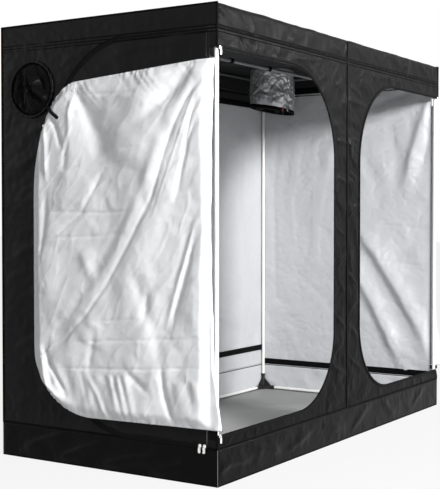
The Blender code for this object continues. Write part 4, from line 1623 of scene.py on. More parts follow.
@dataclass
class FrontPanel:
    """The front: head and sill strips and the strip between the doorways."""

    trims: TrimKit
    spacing: float = 0.010
    tape_width: float = 0.011
    binding: float = 0.0030
    seam_width: float = 0.013
    seam_offset: float = 0.006
    equal_sides: Point = (0.53, 1.74)

    def relief(self) -> Relief:
        """Returns the front's wrinkles, as the photograph shows them."""
        folds = (
            Fold(((-0.027, 1.703), (0.051, 1.700), (0.231, 1.684)), 0.010, 0.006, 0.4),
            Fold(((-0.118, 1.491), (-0.008, 1.489)), 0.008, 0.005, 0.5),
            Fold(((0.035, 1.511), (0.141, 1.505)), 0.008, 0.005, 0.5),
            Fold(((-0.026, 1.534), (0.043, 1.530)), 0.008, 0.004, 0.5),
            Fold(((0.030, 1.780), (0.160, 1.730)), 0.012, 0.005, 0.3),
            Fold(((-0.120, 1.200), (-0.020, 1.140)), 0.012, 0.003, 0.3),
            Fold(((0.020, 0.980), (0.120, 1.020)), 0.012, 0.003, 0.3),
            Fold(((-0.110, 0.720), (-0.020, 0.760)), 0.014, 0.003, 0.3),
            Fold(((0.030, 0.560), (0.200, 0.470)), 0.014, 0.005, 0.3),
            Fold(((-0.200, 0.440), (-0.030, 0.500)), 0.014, 0.005, 0.3),
            Fold(((0.300, 1.850), (0.520, 1.862)), 0.012, 0.004, 0.3),
            Fold(((-0.560, 1.846), (-0.320, 1.866)), 0.012, 0.004, 0.3),
            Fold(((-0.105, 1.310), (-0.018, 1.290)), 0.008, 0.006, 0.4),
            Fold(((0.018, 1.345), (0.110, 1.300)), 0.008, 0.006, 0.4),
            Fold(((-0.110, 1.060), (-0.020, 1.020)), 0.009, 0.007, 0.3),
            Fold(((0.020, 1.130), (0.115, 1.180)), 0.009, 0.007, 0.3),
            Fold(((-0.105, 0.880), (-0.020, 0.930)), 0.009, 0.008, 0.3),
            Fold(((0.020, 0.830), (0.110, 0.770)), 0.009, 0.008, 0.3),
            Fold(((-0.115, 0.620), (-0.020, 0.560)), 0.010, 0.008, 0.3),
            Fold(((0.020, 0.660), (0.120, 0.700)), 0.010, 0.008, 0.3),
            Fold(((-0.160, 0.380), (-0.030, 0.340)), 0.011, 0.008, 0.3),
            Fold(((0.030, 0.400), (0.170, 0.330)), 0.011, 0.008, 0.3),
            Fold(((0.0, 0.10), (0.0, 1.95)), 0.011, -0.014, 0.2),
        )
        low = TENT.wall_bottom
        pleats = (
            Pleats((-1.19, low), (-0.80, low), 0.030, 0.0070, 0.050, -0.7, 1),
            Pleats((-0.80, low), (1.2, low), 0.026, 0.0022, 0.040, 0.5, 1),
            *level_pleats(1.2, (TENT.band_bottom, 0.035, 0.0016, 0.040, 0.4, -1)),
        )
        return Relief(folds, pleats, swell=0.0022, swell_size=0.16, crumple=0.0020,
                      crumple_size=0.075, fade=0.022, pleat_fade=0.018, margin=0.013,
                      low=-0.0012, high=0.009, seed=11)

    def build(self) -> None:
        """Cuts the front and sews its trim on; its size is that of an equal rectangle."""
        low, high, half = TENT.wall_bottom, TENT.band_bottom - TENT.gap, TENT.half_length
        outline = [(-half, low), (half, low), *doorway_edge(1)]
        outline += [(half, high), (-half, high), *doorway_edge(-1)[::-1]]
        cut = ClothPanel("front_cloth", FRONT, outline, self.relief(), spacing=self.spacing)
        self.trims.hang(cut, (Look.FRONT, Look.PAINTED_SHADE_LINING), "front_panel", "stretched",
                        ("top_rail_front_left", "top_rail_front_right"), self.equal_sides)
        self._trim()

    def _trim(self) -> None:
        """Adds the doorway binding, its zip, the stitches and the centre seam."""
        trims, low = self.trims, TENT.wall_bottom
        inset = self.tape_width / 2 + 0.001
        bands = [(FRONT, doorway_edge(side, inset), 0.0002) for side in (-1, 1)]
        trims.tape("doorway_binding", bands, Look.PIPING, self.tape_width, self.binding)
        trims.teeth("doorway_zip_teeth", [Trail.on(FRONT, doorway_edge(side, -0.0015), -0.0004)
                                          for side in (-1, 1)])
        seams = [((off, low), (off, TENT.band_bottom)) for off in
                 (-self.seam_offset, self.seam_offset)]
        rows = [Trail.on(FRONT, resample(seam, 0.01, False), 0.0022) for seam in seams]
        rows += [Trail.on(FRONT, doorway_edge(side, inset), self.binding) for side in (-1, 1)]
        trims.stitches("front_stitches", rows)
        middle = ((0.0, low), (0.0, TENT.height - 0.010))
        trims.tape("front_centre_seam", [(FRONT, middle, 0.0)], Look.PIPING, self.seam_width,
                   self.binding)


@dataclass
class EndWall:
    """An end wall of the tent, with the slit beside its front upright."""

    trims: TrimKit
    label: str
    plane: Plane
    bands: tuple[Point, ...] = ((0.163, 0.197), (1.894, 1.932))
    spacing: float = 0.013
    crumple: float = 0.0034
    tab: Point = (0.196, 0.236)

    def outline(self) -> list[Point]:
        """Returns the wall's cut, drawn in depth and height."""
        front = -TENT.half_depth + TENT.cloth + TENT.gap
        back = TENT.half_depth - TENT.cloth - TENT.gap
        low, high = TENT.wall_bottom, TENT.height - TENT.cloth - TENT.gap
        slit = -TENT.half_depth + TENT.slit
        return [(front, low), (back, low), (back, high), (front, high), (front, TENT.door_top),
                (slit, TENT.door_top), (slit, TENT.door_bottom), (front, TENT.door_bottom)]

    def folds(self) -> tuple[Fold, ...]:
        """Returns the folds of the lining, as the photograph shows them."""
        return (
            Fold(((-0.581, 1.700), (-0.534, 1.540), (-0.499, 1.405)), 0.018, 0.0060, 0.3),
            Fold(((-0.430, 1.860), (-0.271, 1.830), (-0.150, 1.770)), 0.030, 0.0100, 0.1),
            Fold(((-0.090, 1.520), (-0.207, 1.321), (-0.252, 1.199)), 0.040, 0.0070),
            Fold(((-0.294, 1.662), (-0.338, 1.459), (-0.317, 1.259)), 0.030, 0.0060),
            Fold(((-0.140, 1.707), (-0.402, 1.707)), 0.008, 0.0045, 0.6),
            Fold(((-0.120, 1.415), (-0.552, 1.394)), 0.008, 0.0045, 0.6),
            Fold(((-0.130, 1.076), (-0.520, 1.046)), 0.008, 0.0045, 0.6),
            Fold(((-0.180, 0.856), (-0.534, 0.820)), 0.008, 0.0045, 0.6),
            Fold(((-0.562, 1.394), (-0.559, 0.860), (-0.557, 0.343)), 0.012, 0.0050, 0.3),
            Fold(((-0.441, 0.336), (-0.568, 0.384)), 0.010, -0.0045, 0.4),
            Fold(((0.10, 1.56), (0.20, 1.24), (0.22, 0.85)), 0.030, -0.0065),
            Fold(((0.34, 1.60), (0.40, 1.20), (0.38, 0.80)), 0.026, -0.0065),
            Fold(((0.00, 1.30), (0.06, 0.95), (0.02, 0.60)), 0.026, 0.0050),
            Fold(((0.48, 1.70), (0.52, 1.30), (0.50, 0.60)), 0.020, 0.0050),
            Fold(((0.05, 0.62), (0.30, 0.52), (0.45, 0.50)), 0.020, -0.0060, 0.2),
            Fold(((0.15, 0.38), (0.40, 0.30)), 0.018, -0.0060, 0.2),
        )

    def ridges(self) -> tuple[Fold, ...]:
        """Returns the long folds that stand into the tent."""
        return (
            Fold(((-0.060, 1.090), (-0.231, 0.853), (-0.364, 0.654), (-0.472, 0.478),
                  (-0.540, 0.330)), 0.036, 0.0280, 0.15, 1.9),
            Fold(((0.020, 0.930), (-0.188, 0.586), (-0.299, 0.368), (-0.370, 0.235)),
                 0.036, 0.0280, 0.15, 1.8),
            Fold(((-0.565, 1.830), (-0.498, 1.673), (-0.435, 1.477), (-0.393, 1.288)),
                 0.030, 0.0180, 0.1, 1.8),
        )

    def holes(self) -> tuple[Loop, ...]:
        """Returns the openings cut in the wall."""
        return ()

    def relief(self) -> Relief:
        """Returns how the wall's cloth lies."""
        pleats = level_pleats(
            0.6,
            (TENT.wall_bottom + 0.04, 0.030, 0.0035, 0.060, 0.7, 1),
            (TENT.band_bottom, 0.040, 0.0025, 0.060, 0.5, -1),
        )
        return Relief(self.folds(), pleats, self.ridges(), swell=0.0024, swell_size=0.24,
                      crumple=self.crumple, crumple_size=0.075, rise=0.0012, fade=0.045,
                      low=-0.0012, high=0.0105, seed=23)

    def build(self) -> None:
        """Cuts the wall and sews on its bands and the tab at its slit's foot."""
        cut = ClothPanel(f"{self.label}_wall_cloth", self.plane, self.outline(), self.relief(),
                         self.holes(), self.spacing)
        # Above the upper band the wall's inside is painted shade.
        self.trims.hang(cut, (Look.WALL, Look.PAINTED_SHADE_LINING, Look.WALL, Look.PAINTED_SHADE), f"{self.label}_wall",
                        "hung", (f"top_rail_{self.label}",), dark=self.bands[-1][0] + 0.01)
        span = (-TENT.half_depth + 0.06, TENT.half_depth - 0.004)
        self.trims.inner_bands(f"{self.label}_inner_bands", self.plane, span, self.bands)
        middle = -TENT.half_depth + TENT.slit / 2
        line = [(middle, height) for height in self.tab]
        self.trims.tape(f"{self.label}_slit_tab", [(self.plane, line, 0.0004)], Look.PIPING,
                        TENT.slit + 0.004, 0.0014)


@dataclass
class LeftWall(EndWall):
    """The left wall, with the holes for its side door and duct port."""

    PORT = (TENT.port_y, TENT.port_z)
    SOCK_RINGS = 22
    SPOKES = 108
    SOCK_SEAM = 0.005
    SOCK_LIFT = 0.0014
    SOCK_DOME = 0.022
    SOCK_PLEATS = ((0.004, 7), (0.002, 19))
    TUNNEL_SIDES = 10
    TUNNEL_REACH = 0.125
    TUNNEL_WIDTH = 0.0065
    TUNNEL_LIFT = 0.0056
    TUNNEL_DEPTH = 0.0053

    def holes(self) -> tuple[Loop, ...]:
        """Returns the side door's and the port's openings."""
        return (side_door_edge(), arc(self.PORT, TENT.port_radius, 0, 360, 48)[:-1])

    def ridges(self) -> tuple[Fold, ...]:
        """Returns nothing: this wall has no long folds."""
        return ()

    def folds(self) -> tuple[Fold, ...]:
        """Returns the wrinkles round the side door and the port."""
        return (
            Fold(((0.025, 1.827), (-0.032, 1.827)), 0.008, 0.004, 0.5),
            Fold(((0.30, 1.55), (0.46, 1.49)), 0.014, 0.005, 0.3),
            Fold(((0.31, 1.44), (0.52, 1.34)), 0.016, 0.005, 0.3),
            Fold(((0.33, 1.22), (0.50, 1.16)), 0.014, 0.004, 0.3),
            Fold(((0.32, 1.02), (0.55, 0.92)), 0.016, 0.005, 0.3),
            Fold(((0.31, 0.80), (0.50, 0.74)), 0.014, 0.004, 0.3),
            Fold(((0.30, 0.60), (0.54, 0.50)), 0.016, 0.005, 0.3),
            Fold(((0.20, 0.36), (0.50, 0.28)), 0.016, 0.006, 0.3),
            Fold(((0.10, 1.86), (0.24, 1.80)), 0.012, 0.004, 0.4),
        )

    def build(self) -> None:
        """Cuts the wall, its door, its zip and its port."""
        super().build()
        self._side_door()
        self._side_zip()
        self._port()

    def _side_door(self) -> None:
        """Cuts the zipped side door that the leaf hangs over."""
        folds = (
            Fold(((0.031, 1.778), (-0.009, 1.762)), 0.008, 0.004, 0.5),
            Fold(((-0.026, 1.747), (-0.110, 1.750)), 0.008, 0.004, 0.5),
            Fold(((-0.54, 0.208), (-0.30, 0.214), (0.02, 0.205)), 0.008, 0.006, 0.4),
            Fold(((-0.54, 0.190), (-0.20, 0.193), (-0.02, 0.184)), 0.007, 0.005, 0.4),
            Fold(((-0.50, 1.845), (-0.30, 1.850), (-0.12, 1.842)), 0.010, 0.005, 0.3),
        )
        relief = Relief(folds, (), swell=0.0025, swell_size=0.2, crumple=0.002,
                        crumple_size=0.10, fade=0.020, low=-0.0012, high=0.008, seed=31)
        front = TENT.side_door_front + 0.002
        outline = [(max(u, front), v) for u, v in side_door_edge(-0.002)]
        cut = ClothPanel("side_door_cloth", LEFT, outline, relief, spacing=self.spacing)
        self.trims.hang(cut, (Look.WALL, Look.PAINTED_SHADE_LINING), "left_side_door", "hung",
                        ("top_rail_left",))

    def _side_zip(self) -> None:
        """Lays the side door's zip tape, its teeth, its stitches and its piping."""
        trims, path = self.trims, side_door_edge()
        trims.tape("side_zip_tape", [(LEFT, path, 0.0002)], Look.WEBBING, 0.020,
                   node="left_side_zip")
        trims.teeth("side_zip_teeth", [Trail.on(LEFT, path, 0.0016)])
        rows = [Trail.on(LEFT, side_door_edge(grow), 0.0014) for grow in (-0.008, 0.008)]
        trims.stitches("side_zip_stitches", rows)
        cord = Trail.on(LEFT, side_door_edge(0.0115), 0.001)
        trims.piping("side_zip_piping", [cord], radius=0.0020)

    def _port(self) -> None:
        """Gathers the port's sock and sews its corded ring round it."""
        rings, spokes, rim = self.SOCK_RINGS, self.SPOKES, TENT.port_radius + self.SOCK_SEAM
        folds = (
            Fold(((0.439, 1.812), (0.427, 1.718), (0.390, 1.613)), 0.014, 0.022, 0.4),
            Fold(((0.495, 1.807), (0.483, 1.721), (0.503, 1.661)), 0.012, 0.018, 0.4),
            Fold(((0.402, 1.744), (0.359, 1.690), (0.310, 1.627)), 0.014, 0.020, 0.4),
            Fold(((0.460, 1.760), (0.455, 1.660), (0.440, 1.600)), 0.010, -0.018, 0.4),
            Fold(((0.370, 1.790), (0.345, 1.720), (0.330, 1.680)), 0.010, -0.016, 0.4),
        )
        wander = Relief(folds, (), swell=0.006, swell_size=0.09, crumple=0.006,
                        crumple_size=0.07, fade=0.02, low=-0.020, high=0.030, seed=47)
        flat = [self.PORT]
        for ring in range(1, rings + 1):
            reach = ring / rings * rim
            flat += [(TENT.port_y + reach * math.cos(angle), TENT.port_z + reach * math.sin(angle))
                     for angle in np.arange(spokes) * math.tau / spokes]
        flat = np.array(flat)
        away = np.linalg.norm(flat - flat[0], axis=1)
        share = away / rim
        turn = np.arctan2(flat[:, 1] - TENT.port_z, flat[:, 0] - TENT.port_y)
        (wide, few), (fine, many) = self.SOCK_PLEATS
        pleat = wide * np.cos(few * turn + math.pi * share + 0.8 * np.sin(3 * turn))
        pleat += fine * np.cos(many * turn + 2.0 * np.sin(2 * turn)) * share
        heights = self.SOCK_DOME * (1 - share ** 2)
        heights = heights + pleat * np.sin(math.pi * np.clip(share, 0, 0.97))
        heights = heights + wander.heights(flat, rim - away)
        heights = self.SOCK_LIFT + np.maximum(heights, 0.0)
        faces = [(0, 1 + spoke, 1 + (spoke + 1) % spokes) for spoke in range(spokes)]
        faces += grid_faces(rings, spokes, looped=False, first=1)
        sock = new_piece("port_sock", LEFT.place(flat, heights), [face[::-1] for face in faces])
        thicken(sock, 0.0010, 0)
        self.trims.wardrobe.finish(sock, Look.BAND, node="duct_sock")
        sides = (2 * rim, 2 * rim)
        declare_sheet(sides, math.pi * rim * rim)
        self._port_ring()

    def _port_ring(self) -> None:
        """Makes the gathered tunnel of cloth that holds the port's draw cord."""
        places, count, sides = [], 2 * self.SPOKES, self.TUNNEL_SIDES
        for index in range(count):
            turn = math.tau * index / count
            tuck = 1 + 0.20 * math.sin(27 * turn + 1.4 * math.sin(4 * turn))
            tuck = tuck + 0.1 * math.sin(7 * turn)
            for side in range(sides):
                roll = math.tau * side / sides
                reach = self.TUNNEL_REACH + self.TUNNEL_WIDTH * tuck * math.cos(roll)
                lift = self.TUNNEL_LIFT + self.TUNNEL_DEPTH * tuck * math.sin(roll)
                places.append((-TENT.half_length - lift, TENT.port_y + reach * math.cos(turn),
                               TENT.port_z + reach * math.sin(turn)))
        faces = turned_over(grid_faces(count, sides))
        ring = new_piece("port_ring_tunnel", np.array(places), faces)
        self.trims.wardrobe.finish(ring, Look.WALL, node="duct_ring")
        rows = [Trail.on(LEFT, arc(self.PORT, radius, 0, 360, 72)[:-1], 0.0006, True)
                for radius in (0.136, 0.1165)]
        self.trims.stitches("port_stitches", rows, pitch=0.007, length=0.0045)


@dataclass
class BackWall:
    """The plain back wall with its lining and inner bands."""

    trims: TrimKit
    band_low: Point = (0.254, 0.286)
    band_high: Point = (1.806, 1.843)
    spacing: float = 0.016

    def build(self) -> None:
        """Cuts the wall and sews its bands on."""
        half, low, high = TENT.half_length, TENT.wall_bottom, TENT.band_bottom - TENT.gap
        outline = [(-half, low), (half, low), (half, high), (-half, high)]
        folds = (
            Fold(((0.55, 1.60), (0.75, 1.10), (0.80, 0.70)), 0.030, -0.005),
            Fold(((0.95, 1.60), (0.90, 1.20), (1.00, 0.80)), 0.026, -0.005),
            Fold(((0.40, 1.30), (0.50, 0.80)), 0.030, 0.005),
            Fold(((0.60, 0.52), (0.90, 0.44)), 0.016, -0.005, 0.3),
            Fold(((0.30, 0.44), (0.55, 0.38)), 0.016, -0.004, 0.3),
            Fold(((-0.60, 1.50), (-0.45, 1.00)), 0.030, 0.006),
            Fold(((-0.90, 1.20), (-0.95, 0.70)), 0.030, 0.006),
            Fold(((0.00, 0.60), (0.10, 0.30)), 0.020, 0.004),
            Fold(((-0.30, 1.75), (-0.10, 1.55)), 0.024, 0.005),
        )
        pleats = level_pleats(
            1.2,
            (self.band_low[1], 0.034, 0.0045, 0.055, 0.6, 1),
            (self.band_low[0], 0.045, 0.0030, 0.045, 0.4, -1),
            (self.band_high[0], 0.05, 0.0020, 0.06, 0.4, -1),
        )
        relief = Relief(folds, pleats, swell=0.0034, swell_size=0.30, crumple=0.0010,
                        crumple_size=0.14, rise=0.0035, fade=0.045, low=-0.0012, high=0.010, seed=5)
        cut = ClothPanel("back_wall_cloth", BACK, outline, relief, spacing=self.spacing)
        # Above the upper band the wall's inside is painted shade.
        self.trims.hang(cut, (Look.WALL, Look.PAINTED_SHADE_LINING, Look.WALL, Look.PAINTED_SHADE), "back_wall", "hung",
                        ("top_rail_back_left", "top_rail_back_right"),
                        dark=self.band_high[0] + 0.012)
        self.trims.inner_bands("back_inner_bands", BACK, (-1.196, 1.196),
                               (self.band_low, self.band_high))
        seam = ((0.0, low), (0.0, high))
        self.trims.tape("back_centre_seam", [(BACK, seam, 0.0)], Look.WEBBING, 0.016, 0.0026)


@dataclass
class RoofCanopy:
    """The roof with its front and back bands, one cloth folded over the top rails."""

    trims: TrimKit
    corner: float = 0.009
    spacing: float = 0.017
    port_clearance: float = 0.1245

    def _profile(self) -> np.ndarray:
        """Returns the cloth's way over the tent: run, depth, height and facing."""
        low, top, half = TENT.band_bottom, TENT.height, TENT.half_depth
        rows = [(-half, low, -1.0, 0.0), (-half, top - self.corner, -1.0, 0.0)]
        for step in range(1, 7):
            turn = math.pi * step / 12
            y = -half + self.corner - self.corner * math.cos(turn)
            z = top - self.corner + self.corner * math.sin(turn)
            rows.append((y, z, -math.cos(turn), math.sin(turn)))
        rows += [(-y, z, -ny, nz) for y, z, ny, nz in rows[::-1]]
        line = np.array(rows, float)
        steps = np.linalg.norm(np.diff(line[:, :2], axis=0), axis=1)
        return np.column_stack([np.concatenate([[0.0], np.cumsum(steps)]), line])

    def build(self) -> None:
        """Cuts the roof, folds it over the frame and sews its seams."""
        profile = self._profile()
        length = profile[-1, 0]
        middle = length / 2

        def place(flat: np.ndarray, heights: np.ndarray) -> np.ndarray:
            """Folds flat points over the frame."""
            y, z, ny, nz = (np.interp(flat[:, 1], profile[:, 0], column)
                            for column in profile[:, 1:].T)
            size = np.maximum(np.hypot(ny, nz), 1e-6)
            return np.column_stack([flat[:, 0], y + heights * ny / size, z + heights * nz / size])

        half = TENT.half_length
        outline = [(-half, 0.0), (half, 0.0), (half, length), (-half, length)]
        port = arc((TENT.sleeve_x, middle + TENT.sleeve_y), self.port_clearance, 0, 360, 48)[:-1]
        band = TENT.height - TENT.band_bottom
        folds = (
            Fold(((-1.10, 0.090), (-1.00, 0.035), (-0.93, 0.020)), 0.009, 0.006, 0.4),
            Fold(((-1.15, 0.070), (-1.08, 0.030)), 0.008, 0.005, 0.4),
            Fold(((-0.98, 0.085), (-0.90, 0.040)), 0.009, 0.005, 0.4),
            Fold(((-0.60, 0.030), (-0.42, 0.070)), 0.010, 0.004, 0.3),
            Fold(((-0.20, 0.080), (-0.06, 0.030)), 0.010, 0.005, 0.3),
            Fold(((0.10, 0.080), (0.24, 0.030)), 0.010, 0.005, 0.3),
            Fold(((0.28, 0.085), (0.40, 0.040)), 0.010, 0.004, 0.3),
            Fold(((0.62, 0.030), (0.80, 0.075)), 0.010, 0.004, 0.3),
            Fold(((0.92, 0.080), (1.06, 0.035)), 0.010, 0.004, 0.3),
            Fold(((0.0, -0.05), (0.0, 0.13)), 0.012, -0.012),
        )
        pleats = level_pleats(
            half,
            (0.0, 0.040, 0.0020, 0.040, 0.6, 1),
            (length, 0.040, 0.0020, 0.040, 0.6, -1),
            (band, 0.060, 0.0016, 0.060, 0.3, 1),
            (length - band, 0.060, 0.0016, 0.060, 0.3, -1),
        )
        relief = Relief(folds, pleats, swell=0.0026, swell_size=0.22, crumple=0.0012,
                        crumple_size=0.16, fade=0.018, low=-0.0008, high=0.009, seed=61)
        cut = ClothPanel("roof_cloth", GROUND, outline, relief, (port,), self.spacing, place)
        # The roof's inside is painted shade.
        self.trims.hang(cut, (Look.BAND, Look.PAINTED_SHADE), "roof_canopy", "draped",
                        ("top_rail_front_left", "top_rail_back_left", "top_rail_left"))
        self._collar()

    def _collar(self) -> None:
        """Adds the corded collar round the roof port and its draw cord."""
        top = Plane((0.0, 0.0, TENT.height), (1, 0, 0), (0, 1, 0), (0, 0, 1))

        def ring(radius: float, steps: int = 60) -> list[Point]:
            """Draws a ring round the port."""
            return arc((TENT.sleeve_x, TENT.sleeve_y), radius, 0, 360, steps)[:-1]

        self.trims.tape("roof_port_collar", [(top, ring(0.137, 72), 0.0002)], Look.WEBBING, 0.022,
                        0.0022, True)
        cord = Trail.on(top, ring(0.1265), 0.001, True)
        self.trims.piping("roof_port_cord", [cord], radius=0.0028)
        rows = [Trail.on(top, ring(radius), 0.0020, True) for radius in (0.131, 0.144)]
        self.trims.stitches("roof_port_stitches", rows)


@dataclass
class FloorTray:
    """The waterproof skirt and the ground liner inside it."""

    trims: TrimKit
    step: float = 0.010
    rows: int = 14

    def build(self) -> None:
        """Makes the skirt and the ground liner."""
        self._skirt()
        self._ground()

    def _skirt(self) -> None:
        """Makes the skirt, one cloth that runs round the tent's foot."""
        x, y, low, high = TENT.half_length, TENT.half_depth, 0.0, TENT.skirt
        corners = [(-x, -y), (x, -y), (x, y), (-x, y)]
        line = np.array(resample(corners, self.step), float)
        steps = np.linalg.norm(np.roll(line, -1, axis=0) - line, axis=1)
        run = np.concatenate([[0.0], np.cumsum(steps)[:-1]])
        marks = np.array([0.0, 2 * x, 2 * x + 2 * y, 4 * x + 2 * y, 4 * x + 4 * y])
        near = np.abs(run[:, None] - marks).min(axis=1)
        side = np.searchsorted(marks, run + 1e-6) - 1
        facing = np.array([(0, -1), (1, 0), (0, 1), (-1, 0)], float)[side]
        folds = [
            Fold(((0.01, 0.066), (0.10, 0.082), (0.26, 0.074)), 0.020, 0.009, 0.1, 0.6),
            Fold(((0.30, 0.110), (0.52, 0.060)), 0.022, 0.008, 0.1, 0.6),
            Fold(((0.60, 0.045), (0.82, 0.105)), 0.022, 0.007, 0.1, 0.6),
            Fold(((0.92, 0.115), (1.12, 0.060)), 0.022, 0.007, 0.1, 0.6),
            Fold(((1.25, 0.030), (1.42, 0.125)), 0.018, 0.005, 0.2),
            Fold(((1.62, 0.135), (1.78, 0.040)), 0.020, 0.006, 0.2),
            Fold(((2.02, 0.040), (2.18, 0.125)), 0.018, 0.005, 0.2),
        ]
        total = 4 * x + 4 * y
        left = (
            (0.017, 0.012, (0.33, 0.018), (0.24, 0.054), (0.14, 0.084)),
            (0.018, 0.013, (0.62, 0.014), (0.46, 0.062), (0.30, 0.092)),
            (0.018, 0.013, (0.86, 0.018), (0.74, 0.070), (0.60, 0.114)),
            (0.018, 0.013, (1.08, 0.036), (0.96, 0.090), (0.82, 0.132)),
        )
        folds += [Fold(tuple((total - back, up) for back, up in path), width, height, 0.2, 1.5)
                  for width, height, *path in left]
        pleats = (Pleats((0.0, high), (total, high), 0.031, 0.0014, 0.03, 0.5),)
        relief = Relief(tuple(folds), pleats, swell=0.0020, swell_size=0.15, crumple=0.0016,
                        crumple_size=0.10, fade=0.030, low=-0.0006, high=0.012, seed=71)
        levels = np.linspace(low, high, self.rows + 1)
        flat = np.column_stack([np.repeat(run, len(levels)), np.tile(levels, len(run))])
        edge = np.minimum(np.repeat(near, len(levels)),
                          np.minimum(flat[:, 1] - low, high - flat[:, 1]))
        heights = relief.heights(flat, edge)
        base = np.repeat(line, len(levels), axis=0)
        out = np.repeat(facing, len(levels), axis=0)
        places = np.column_stack([base + out * heights[:, None], flat[:, 1]])
        faces = grid_faces(len(run), len(levels), ringed=False)
        skirt = new_piece("skirt_cloth_band", places, faces)
        thicken(skirt)
        self.trims.wardrobe.finish(skirt, Look.SKIRT, Look.PAINTED_SHADE_LINING, node="floor_tray")
        declare_sheet((total, high), total * high)

    def _ground(self) -> None:
        """Lays the ground liner between the floor rails."""
        x, y = TENT.half_length - TENT.cloth, TENT.half_depth - TENT.cloth
        outline = [(-x, -y), (x, -y), (x, y), (-x, y)]
        folds = (
            Fold(((-0.9, -0.3), (-0.2, -0.24), (0.5, -0.32)), 0.020, 0.002),
            Fold(((0.3, 0.2), (0.9, 0.26)), 0.020, 0.002),
        )
        relief = Relief(folds, (), swell=0.0010, swell_size=0.4, crumple=0.0008,
                        crumple_size=0.3, fade=0.10, low=-0.0001, high=0.003, seed=83)
        cut = ClothPanel("ground_liner", GROUND, outline, relief, spacing=0.03)
        self.trims.hang(cut, (Look.GROUND, Look.SKIRT), "floor_tray", "laid",
                        ("skirt_cloth_band",))


@dataclass
class Seams:
    """The long seams of the cover: its double top seam, skirt seam and corner piping."""

    trims: TrimKit
    end: float = 0.004
    left_top_end: float = -0.09

    TOP_ROWS = (1.9020, 1.8875)
    SKIRT_ROWS = (0.149, 0.162)
    CORDS = (0.1556, 1.8948, 1.9085, 1.8815)

    @staticmethod
    def _level(plane: Plane, span: Point, heights: Sequence[float], lift: float) -> list[Trail]:
        """Draws level rows on a wall.

        Args:
            plane: The wall.
            span: Where the rows start and end.
            heights: Each row's height.
            lift: How far the rows stand out.

        Returns:
            The rows.
        """
        return [Trail.on(plane, resample([(end, height) for end in span], 0.02, False), lift)
                for height in heights]

    @staticmethod
    def _corner(sx: int, sy: int, low: float, high: float) -> Trail:
        """Draws an upright line on a corner of the tent.

        Args:
            sx: The corner's side along the tent, -1 or 1.
            sy: Its side across the tent, -1 or 1.
            low: Where the line starts.
            high: Where it ends.

        Returns:
            The line.
        """
        place = (sx * (TENT.half_length + 0.0004), sy * (TENT.half_depth + 0.0004))
        return Trail(tuple((*place, z) for z in np.linspace(low, high, 12)),
                     (0.707 * sx, 0.707 * sy, 0.0))

    def build(self) -> None:
        """Sews the seams all round the tent."""
        x, y, trims = TENT.half_length, TENT.half_depth, self.trims
        pale, dark, cords = [], [], []
        for plane, half in ((FRONT, x), (BACK, x), (LEFT, y), (RIGHT, y)):
            span = (-half + self.end, half - self.end)
            top = (span[0], self.left_top_end) if plane is LEFT else span
            pale += self._level(plane, top, self.TOP_ROWS, 0.0008)
            dark += self._level(plane, span, self.SKIRT_ROWS, 0.0008)
            cords += self._level(plane, (-half, half), self.CORDS, 0.0004)
        trims.stitches("top_seam_stitches", pale, Look.PALE_THREAD, 0.0140, 0.0062)
        trims.stitches("skirt_seam_stitches", dark, Look.DARK_THREAD, 0.009, 0.0055)
        trims.piping("seam_piping", cords, radius=0.0028)
        upright, foot = [], []
        for sx, sy in ((-1, -1), (-1, 1), (1, -1), (1, 1)):
            spans = [(TENT.skirt, TENT.height)]
            if sy < 0:
                spans = [(TENT.skirt, TENT.door_bottom), (TENT.door_top, TENT.height)]
            upright += [self._corner(sx, sy, *span) for span in spans]
            foot.append(self._corner(sx, sy, 0.003, TENT.skirt))
        trims.piping("corner_piping", upright, radius=0.0026)
        trims.piping("skirt_corner_piping", foot, Look.PALE_PIPING, 0.0015)
        ends = [Trail(tuple((sx * x, v, TENT.height) for v in np.linspace(-y, y, 30)), (sx, 0, 0))
                for sx in (-1, 1)]
        trims.piping("roof_end_piping", ends)
        rim = resample([(-x, -y), (x, -y), (x, y), (-x, y)], 0.02)
        rim = Trail(tuple((*point, 0.0026) for point in rim), (0, 0, 1), True)
        trims.piping("skirt_hem_piping", [rim])


